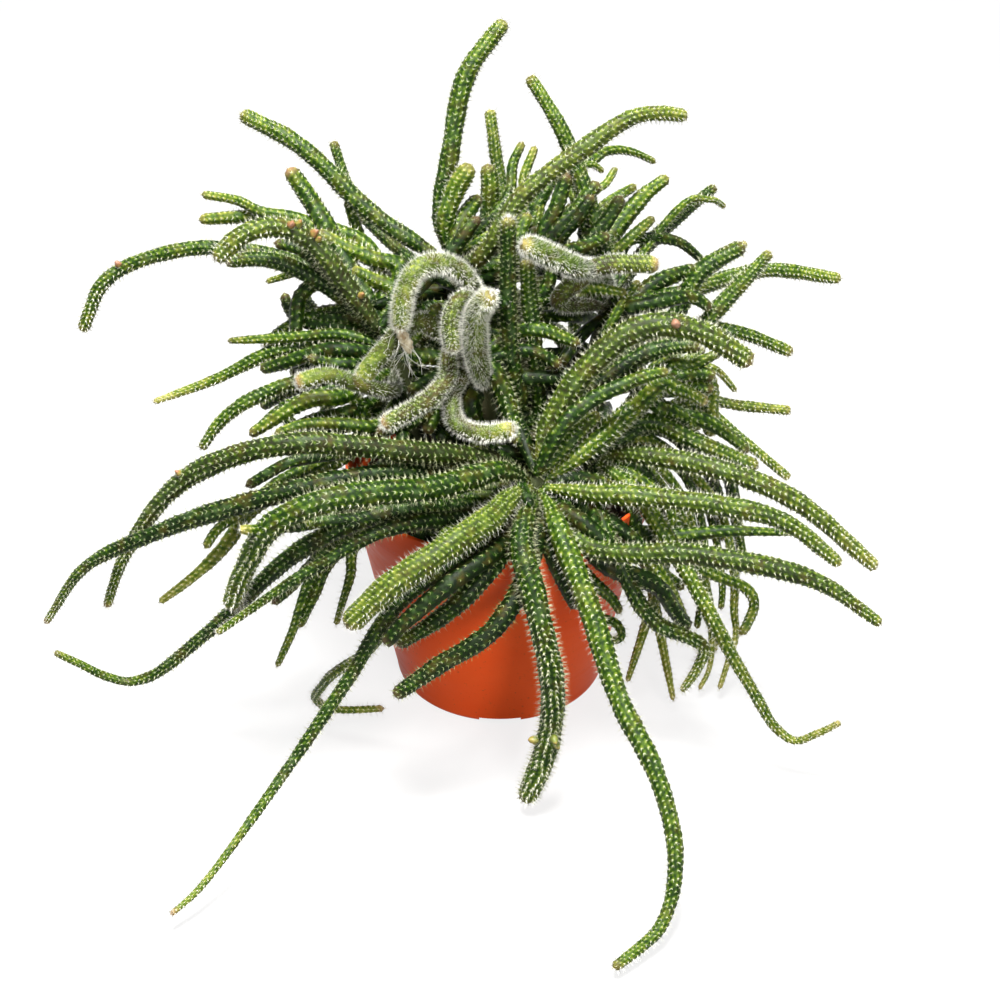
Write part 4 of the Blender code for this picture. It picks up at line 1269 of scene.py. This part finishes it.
        (2.1, DARK, (49, 50, 164), (59, 56, 164), (71, 62, 159), (82, 66, 148)),
        (2.2, PALE, (36, 26, 160), (30, 18, 163), (36, 18, 162), (48, 20, 159)),
        (3.3, DARK, (43, 30, 143), (52, 36, 147), (62, 42, 152), (77, 50, 154)),
        (2.9, DARK, (39, 26, 142), (46, 30, 146), (58, 36, 148), (72, 42, 148)),
        (2.0, PLAIN, (40, 14, 144), (47, 20, 156), (53, 26, 161)),
        (1.6, PALE, (71, 70, 170), (84, 80, 169), (91, 86, 163)),
        (4.1, dict(WOOLLY, coat=2.2, shade=0.4, tip=0.25, tip_length=12, tan=0.03), (37, 24, 165),
         (28, 10, 175), (16, 6, 183), (8, 2, 189)),
        (3.3, DARK, (19, 40, 167), (29, 50, 178), (38, 58, 187)),
        (3.2, DARK, (17, 42, 166), (22, 50, 181), (26, 56, 192)),
        (2.9, DARK, (22, 42, 166), (30, 48, 177), (36, 53, 184)),
        (3.1, DARK, (32, 40, 165), (41, 48, 175), (47, 54, 183)),
        (3.1, DARK, (11, 20, 156), (18, 24, 155), (29, 26, 157)),
        (2.8, DARK, (23, 30, 168), (31, 36, 170), (42, 42, 172)),
        (2.8, DARK, (18, 22, 155), (19, 24, 162), (20, 26, 169)),
        (2.8, DARK, (50, 18, 154), (63, 20, 156), (73, 24, 155), (81, 26, 149)),
    ],
}


def from_axis(place):
    """A place given in mm from the pot's axis at table height."""
    return np.array(pot_axis) + np.array(place) * MM


def nearest_on_crown(crown, place):
    """The point inside a crown where a shoot that heads for the place starts."""
    line = crown_lines[crown + "_crown"]
    wanted = min(place[2] - START_BELOW, line[-1][2])
    return line[np.abs(line[:, 2] - wanted).argmin()]


def slim_shoot(radius):
    """The radius along a shoot: a thin neck, then an even run."""

    def radius_at(at, length):
        return radius * (NECK_SHARE + (1 - NECK_SHARE) * np.clip(at / NECK, 0, 1))

    return radius_at


def grow_shoots():
    for crown, shoots in SHOOTS.items():
        for number, (radius, look, *bends) in enumerate(shoots, 1):
            way = [from_axis(bend) for bend in bends]
            way.insert(0, nearest_on_crown(crown, way[0]))
            # the crown's painted light and shade, added to the shoot's skin
            lit = dict(look, shade=look.get("shade", STEM["shade"]) + CROWN_PAINTED_LIGHT[crown])
            grow_stem(f"{crown}_shoot_{number}", way, slim_shoot(radius * MM), lit)


grow_shoots()

# ---------------------------------------------------------------------------
# The inner shoots: short stems that crowd round the head of each crown, and
# trailing ones at the back that arch over the rim and hang towards the table.
# ---------------------------------------------------------------------------
# how many round each crown, between which shares of its height, and how steeply they may rise, in degrees
INNER = {
    "front": (8, 0.2, 0.7, -20, 5),
    "right": (12, 0.3, 1.0, -5, 30),
    "left": (12, 0.3, 0.9, -5, 30),
    "top": (9, 0.3, 1.0, -5, 45),
    "far": (10, 0.3, 1.0, -5, 45),
    "young": (17, 0.15, 0.55, -10, 22),
    "back": (8, 0.3, 1.0, -5, 45),
}
INNER_FAN = math.radians(240)
INNER_LENGTH = (30, 56)
INNER_RADIUS = (2.2, 2.9)
# the least and most that an inner shoot bows down, as a share of its length
INNER_BOW = (0.1, 0.4)
# the inner shoots' skin is painted nearly black-green and hairless: painted shade in the middle of the plant
IN_SHADE = dict(DARK, ribs=5, pitch=1.7, shade=0.12, tip=0, blush=0, tufts=0.7, bristles=0)
# the crown, the bearing in degrees from the pot's right, and in mm the reach and the heights of arch and tip
TRAILING = [
    ("back", 62, 122, 128, 64), ("back", 74, 138, 120, 40), ("back", 84, 124, 132, 72),
    ("back", 93, 142, 122, 34), ("back", 101, 118, 128, 58), ("back", 110, 136, 116, 30),
    ("back", 120, 126, 124, 62), ("far", 52, 112, 136, 70), ("back", 68, 98, 116, 26),
    ("back", 88, 96, 112, 18), ("back", 106, 98, 112, 22), ("top", 128, 112, 132, 66),
    ("back", 79, 76, 110, 30), ("back", 98, 78, 108, 36), ("back", 57, 88, 112, 34),
    ("back", 118, 90, 112, 30),
]
TRAILING_RADIUS = (2.5, 3.2)
TRAILING_SWAY = 9
# how far out, in mm, the shoot crosses the rim, and where it turns down: a share of the rest, and its rise
OVER_RIM = 66
OUTER_SHARE = 0.65
OUTER_RISE = 6


def grow_inner_shoots():
    for crown, (count, low, high, lowest, steepest) in INNER.items():
        line = crown_lines[crown + "_crown"]
        chance = np.random.default_rng([ord(c) for c in crown])
        towards_axis = math.atan2(pot_axis[1] - line[-1][1], pot_axis[0] - line[-1][0])
        for number in range(1, count + 1):
            bearing = towards_axis + INNER_FAN * ((number - 1 + chance.uniform(0.2, 0.8)) / count - 0.5)
            rise = math.radians(chance.uniform(lowest, steepest))
            length = chance.uniform(*INNER_LENGTH) * MM
            start = line[int((len(line) - 1) * chance.uniform(low, high))]
            level = math.cos(rise)
            heading = np.array((math.cos(bearing) * level, math.sin(bearing) * level, math.sin(rise)))
            bow = np.array((0, 0, -1)) * length * chance.uniform(*INNER_BOW)
            way = [start + heading * length * t + bow * t * t for t in (0, 0.35, 0.7, 1)]
            radius_at = slim_shoot(chance.uniform(*INNER_RADIUS) * MM)
            grow_stem(f"{crown}_inner_{number}", way, radius_at, IN_SHADE)


def grow_trailing_shoots():
    chance = np.random.default_rng(9)
    for number, (crown, bearing, reach, arch, end) in enumerate(TRAILING, 1):
        turn = math.radians(bearing)
        out = np.array((math.cos(turn), math.sin(turn), 0))
        sway = np.array((-math.sin(turn), math.cos(turn), 0)) * chance.uniform(-TRAILING_SWAY, TRAILING_SWAY)
        outer = OVER_RIM + (reach - OVER_RIM) * OUTER_SHARE
        way = [
            crown_lines[crown + "_crown"][-4],
            from_axis(out * OVER_RIM + (0, 0, arch)),
            from_axis(out * outer + sway * 0.5 + (0, 0, (arch + end) / 2 + OUTER_RISE)),
            from_axis(out * reach + sway + (0, 0, end)),
        ]
        look = dict((PALE, PLAIN, YELLOW_TIP)[number % 3], ribs=6, pitch=1.35, bristles=2)
        radius_at = slim_shoot(chance.uniform(*TRAILING_RADIUS) * MM)
        grow_stem(f"trailing_shoot_{number}", way, radius_at, look)


grow_inner_shoots()
grow_trailing_shoots()

# ---------------------------------------------------------------------------
# The flower buds: small knobs that push out of the areoles of older stems,
# yellow-green with a red-brown point, each in a collar of white hairs.
# ---------------------------------------------------------------------------
BUD_AROUND = 10
# height and radius up a bud, as shares of its radius
BUD_PROFILE = ((0, 0.6), (0.35, 0.9), (0.9, 1.0), (1.4, 0.8), (1.9, 0.55), (2.3, 0.15))
# how far each ring of a bud turns on from the last, in radians, and how crumpled its rings are
BUD_TWIST = 0.3
BUD_CRUMPLE = (0.65, 1.15)
# the share of its stem's radius at which a bud sits
BUD_SEAT = 0.85
# how much riper a bud's point is than its foot
BUD_POINT_RIPER = 0.6
BUD = [(0.0, (104, 116, 44)), (0.4, (146, 132, 62)), (0.7, (142, 98, 60)), (1.0, (170, 126, 104))]
COLLAR_HAIRS = 14
COLLAR_RADIUS = 0.8
COLLAR_LENGTH = (1.6, 3.0)
COLLAR_SPLAY = (0.2, 0.8)
# what each stem bears: the way each bud points, in mm from the pot's axis at table height, its radius in mm,
# and how ripe it is
BUDS = {
    "left_stem_1": [
        ((-75, 16, 193), 1.7, 0.35), ((-70, 18, 197), 1.7, 0.0), ((-63, 16, 192), 1.8, 0.3),
        ((-62, 14, 189), 1.4, 0.1), ((-48, 10, 166), 1.5, 0.1),
    ],
    "left_stem_2": [((-152, 46, 162), 1.4, 0.4)],
    "front_stem_3": [((20, -98, 38), 1.9, -0.3), ((22, -98, 34), 1.4, -0.2), ((-8, -98, 38), 1.8, 0.0)],
    "front_stem_14": [((-121, -48, 126), 1.3, 0.1)],
    "far_stem_3": [((87, 76, 152), 1.6, 0.1), ((98, 80, 156), 1.6, 0.0), ((92, 70, 160), 1.5, 0.2)],
    "front_stem_8": [((63, -24, 172), 1.9, 0.6)],
}


def bud_material():
    material, nodes, links = new_material("flower_bud")
    colour = ramp(nodes, links, uneven_ripeness(nodes, links, noise(nodes, links, 600), 0.3), BUD)
    surface(nodes, links, colour, 0.45, bumped(nodes, links, noise(nodes, links, 1200), 0.2 * MM, 0.6))
    return material


def swell_bud(foot, out, across, size, chance):
    """A bud's points, ring by ring from its foot, a little crumpled."""
    third = np.cross(out, across)
    points = []
    for level, (height, share) in enumerate(BUD_PROFILE):
        for k in range(BUD_AROUND):
            turn = 2 * math.pi * k / BUD_AROUND + BUD_TWIST * level
            side = math.cos(turn) * across + math.sin(turn) * third
            reach = share * size * chance.uniform(*BUD_CRUMPLE)
            points.append(foot + out * height * size + side * reach)
    return points


def collar(foot, out, across, size, chance):
    """The hairs round a bud's foot: their roots, and how they grow."""
    third = np.cross(out, across)
    root, grow = [], []
    for hair in range(COLLAR_HAIRS):
        turn = 2 * math.pi * hair / COLLAR_HAIRS
        side = math.cos(turn) * across + math.sin(turn) * third
        root.append(foot + side * size * COLLAR_RADIUS)
        splayed = out + side * chance.uniform(*COLLAR_SPLAY)
        grow.append(splayed * chance.uniform(*COLLAR_LENGTH) * MM)
    return root, grow


def grow_buds():
    material = bud_material()
    for stem, buds in BUDS.items():
        line, radius = stem_lines["hairy_" + stem]
        chance = np.random.default_rng([ord(c) for c in stem])
        points, faces, ripeness, root, grow = [], [], [], [], []
        for toward, size, ripe in buds:
            away = from_axis(toward) - line
            near = int(np.linalg.norm(away, axis=1).argmin())
            out = unit(away[near])
            across = unit(np.cross(out, (0.3, 0.5, 0.8)))
            foot = line[near] + out * radius[near] * BUD_SEAT
            faces += tube_faces(len(BUD_PROFILE), BUD_AROUND, len(points))
            points += swell_bud(foot, out, across, size * MM, chance)
            for height, _ in BUD_PROFILE:
                ripeness += [ripe + BUD_POINT_RIPER * (height / BUD_PROFILE[-1][0]) ** 1.5] * BUD_AROUND
            more_root, more_grow = collar(foot, out, across, size * MM, chance)
            root += more_root
            grow += more_grow
        hairs, hair_faces = spikes(np.array(root), np.array(grow), BRISTLE_WIDTH)
        kinds = [0] * len(faces) + [1] * len(hair_faces)
        faces += (hair_faces + len(points)).tolist()
        points = np.vstack([points, hairs]).tolist()
        mesh = mesh_of("flower_buds_" + stem, points, faces, [material, bristle], kinds)
        paint(mesh, "ripeness", ripeness + [1.0] * len(hairs))
        piece = placed("flower_buds_" + stem, mesh)
        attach(piece, "root")


grow_buds()

# ---------------------------------------------------------------------------
# The dried joint: a shrunken papery shoot that hangs from the tip of the
# hooked young stem, with a beard of fine pale air roots.
# ---------------------------------------------------------------------------
HUSK_AROUND = 12
HUSK_RADIUS = 2.1 * MM
HUSK_STEP = 0.8 * MM
HUSK_CRUMPLE = (0.6, 1.25)
# down the joint, in mm from the tip of the stem it hangs from, and its radius as a share
HUSK_WAY = [
    ((0, 0, 1), 0.7), ((0.4, 1, -2), 1.15), ((1.4, 2, -5), 0.95), ((2.4, 2.6, -8), 1.1), ((3.2, 3, -11), 0.5),
]
PAPER = [(0.3, (150, 122, 86)), (0.5, (214, 200, 170)), (0.75, (244, 240, 226))]
AIR_ROOTS = 26
AIR_ROOT_LENGTH = (5, 13)
AIR_ROOT_WIDTH = 0.09 * MM
# the share of its width that an air root loses towards its tip, and how it turns and droops at each step
AIR_ROOT_TAPER = 0.7
AIR_ROOT_TURN = 0.45
AIR_ROOT_DROOP = (0, 0, -0.15)
AIR_ROOT_STEPS = 5


def papery_material():
    material, nodes, links = new_material("dried_skin")
    streaks = noise(nodes, links, 500, detail=4, stretch=(1, 1, 0.3))
    bump = bumped(nodes, links, streaks, 0.4 * MM)
    surface(nodes, links, ramp(nodes, links, streaks, PAPER), 0.7, bump)
    return material


def air_root(place, chance):
    """The points of a thin three-sided root that wanders down from the place, open at its ends."""
    heading = (chance.uniform(-1, 1), chance.uniform(-0.8, 0.4), chance.uniform(-1.2, -0.1))
    heading = unit(np.array(heading))
    length = chance.uniform(*AIR_ROOT_LENGTH) * MM
    points = []
    for step in range(AIR_ROOT_STEPS):
        width = AIR_ROOT_WIDTH * (1 - AIR_ROOT_TAPER * step / (AIR_ROOT_STEPS - 1))
        cross = unit(np.cross(heading, (0.2, 0.9, 0.3)))
        over = np.cross(heading, cross)
        for turn in NEEDLE_CORNERS:
            points.append(place + width * (math.cos(turn) * cross + math.sin(turn) * over))
        place = place + heading * length / (AIR_ROOT_STEPS - 1)
        heading = unit(heading + chance.uniform(-AIR_ROOT_TURN, AIR_ROOT_TURN, 3) + AIR_ROOT_DROOP)
    return points


def hang_dried_joint():
    chance = np.random.default_rng(21)
    tip = stem_lines["hairy_young_stem_1"][0][-1]
    line, at = smooth_through([tip + np.array(step) * MM for step, _ in HUSK_WAY], HUSK_STEP)
    shares = np.interp(at / at[-1], np.linspace(0, 1, len(HUSK_WAY)), [share for _, share in HUSK_WAY])
    turn = 2 * math.pi * np.arange(HUSK_AROUND)[None, :] / HUSK_AROUND
    crumple = chance.uniform(*HUSK_CRUMPLE, (len(line), HUSK_AROUND))
    out = ways_out(*carried_sides(line), turn)
    shape = line[:, None] + out * (HUSK_RADIUS * shares[:, None] * crumple)[..., None]
    points = [*shape.reshape(-1, 3)]
    faces = tube_faces(len(line), HUSK_AROUND)
    husk_faces = len(faces)
    for _ in range(AIR_ROOTS):
        place = shape[chance.integers(2, len(line)), chance.integers(0, HUSK_AROUND)]
        # a tube's last two faces are its ends, which the roots do without
        faces += tube_faces(AIR_ROOT_STEPS, len(NEEDLE_CORNERS), len(points))[:-2]
        points += air_root(place, chance)
    kinds = [0] * husk_faces + [1] * (len(faces) - husk_faces)
    mesh = mesh_of("dried_joint", np.array(points).tolist(), faces, [papery_material(), bristle], kinds)
    paint(mesh, "ripeness", [1.0] * len(points))
    joint = placed("dried_joint", mesh)
    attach(joint, "root")


hang_dried_joint()
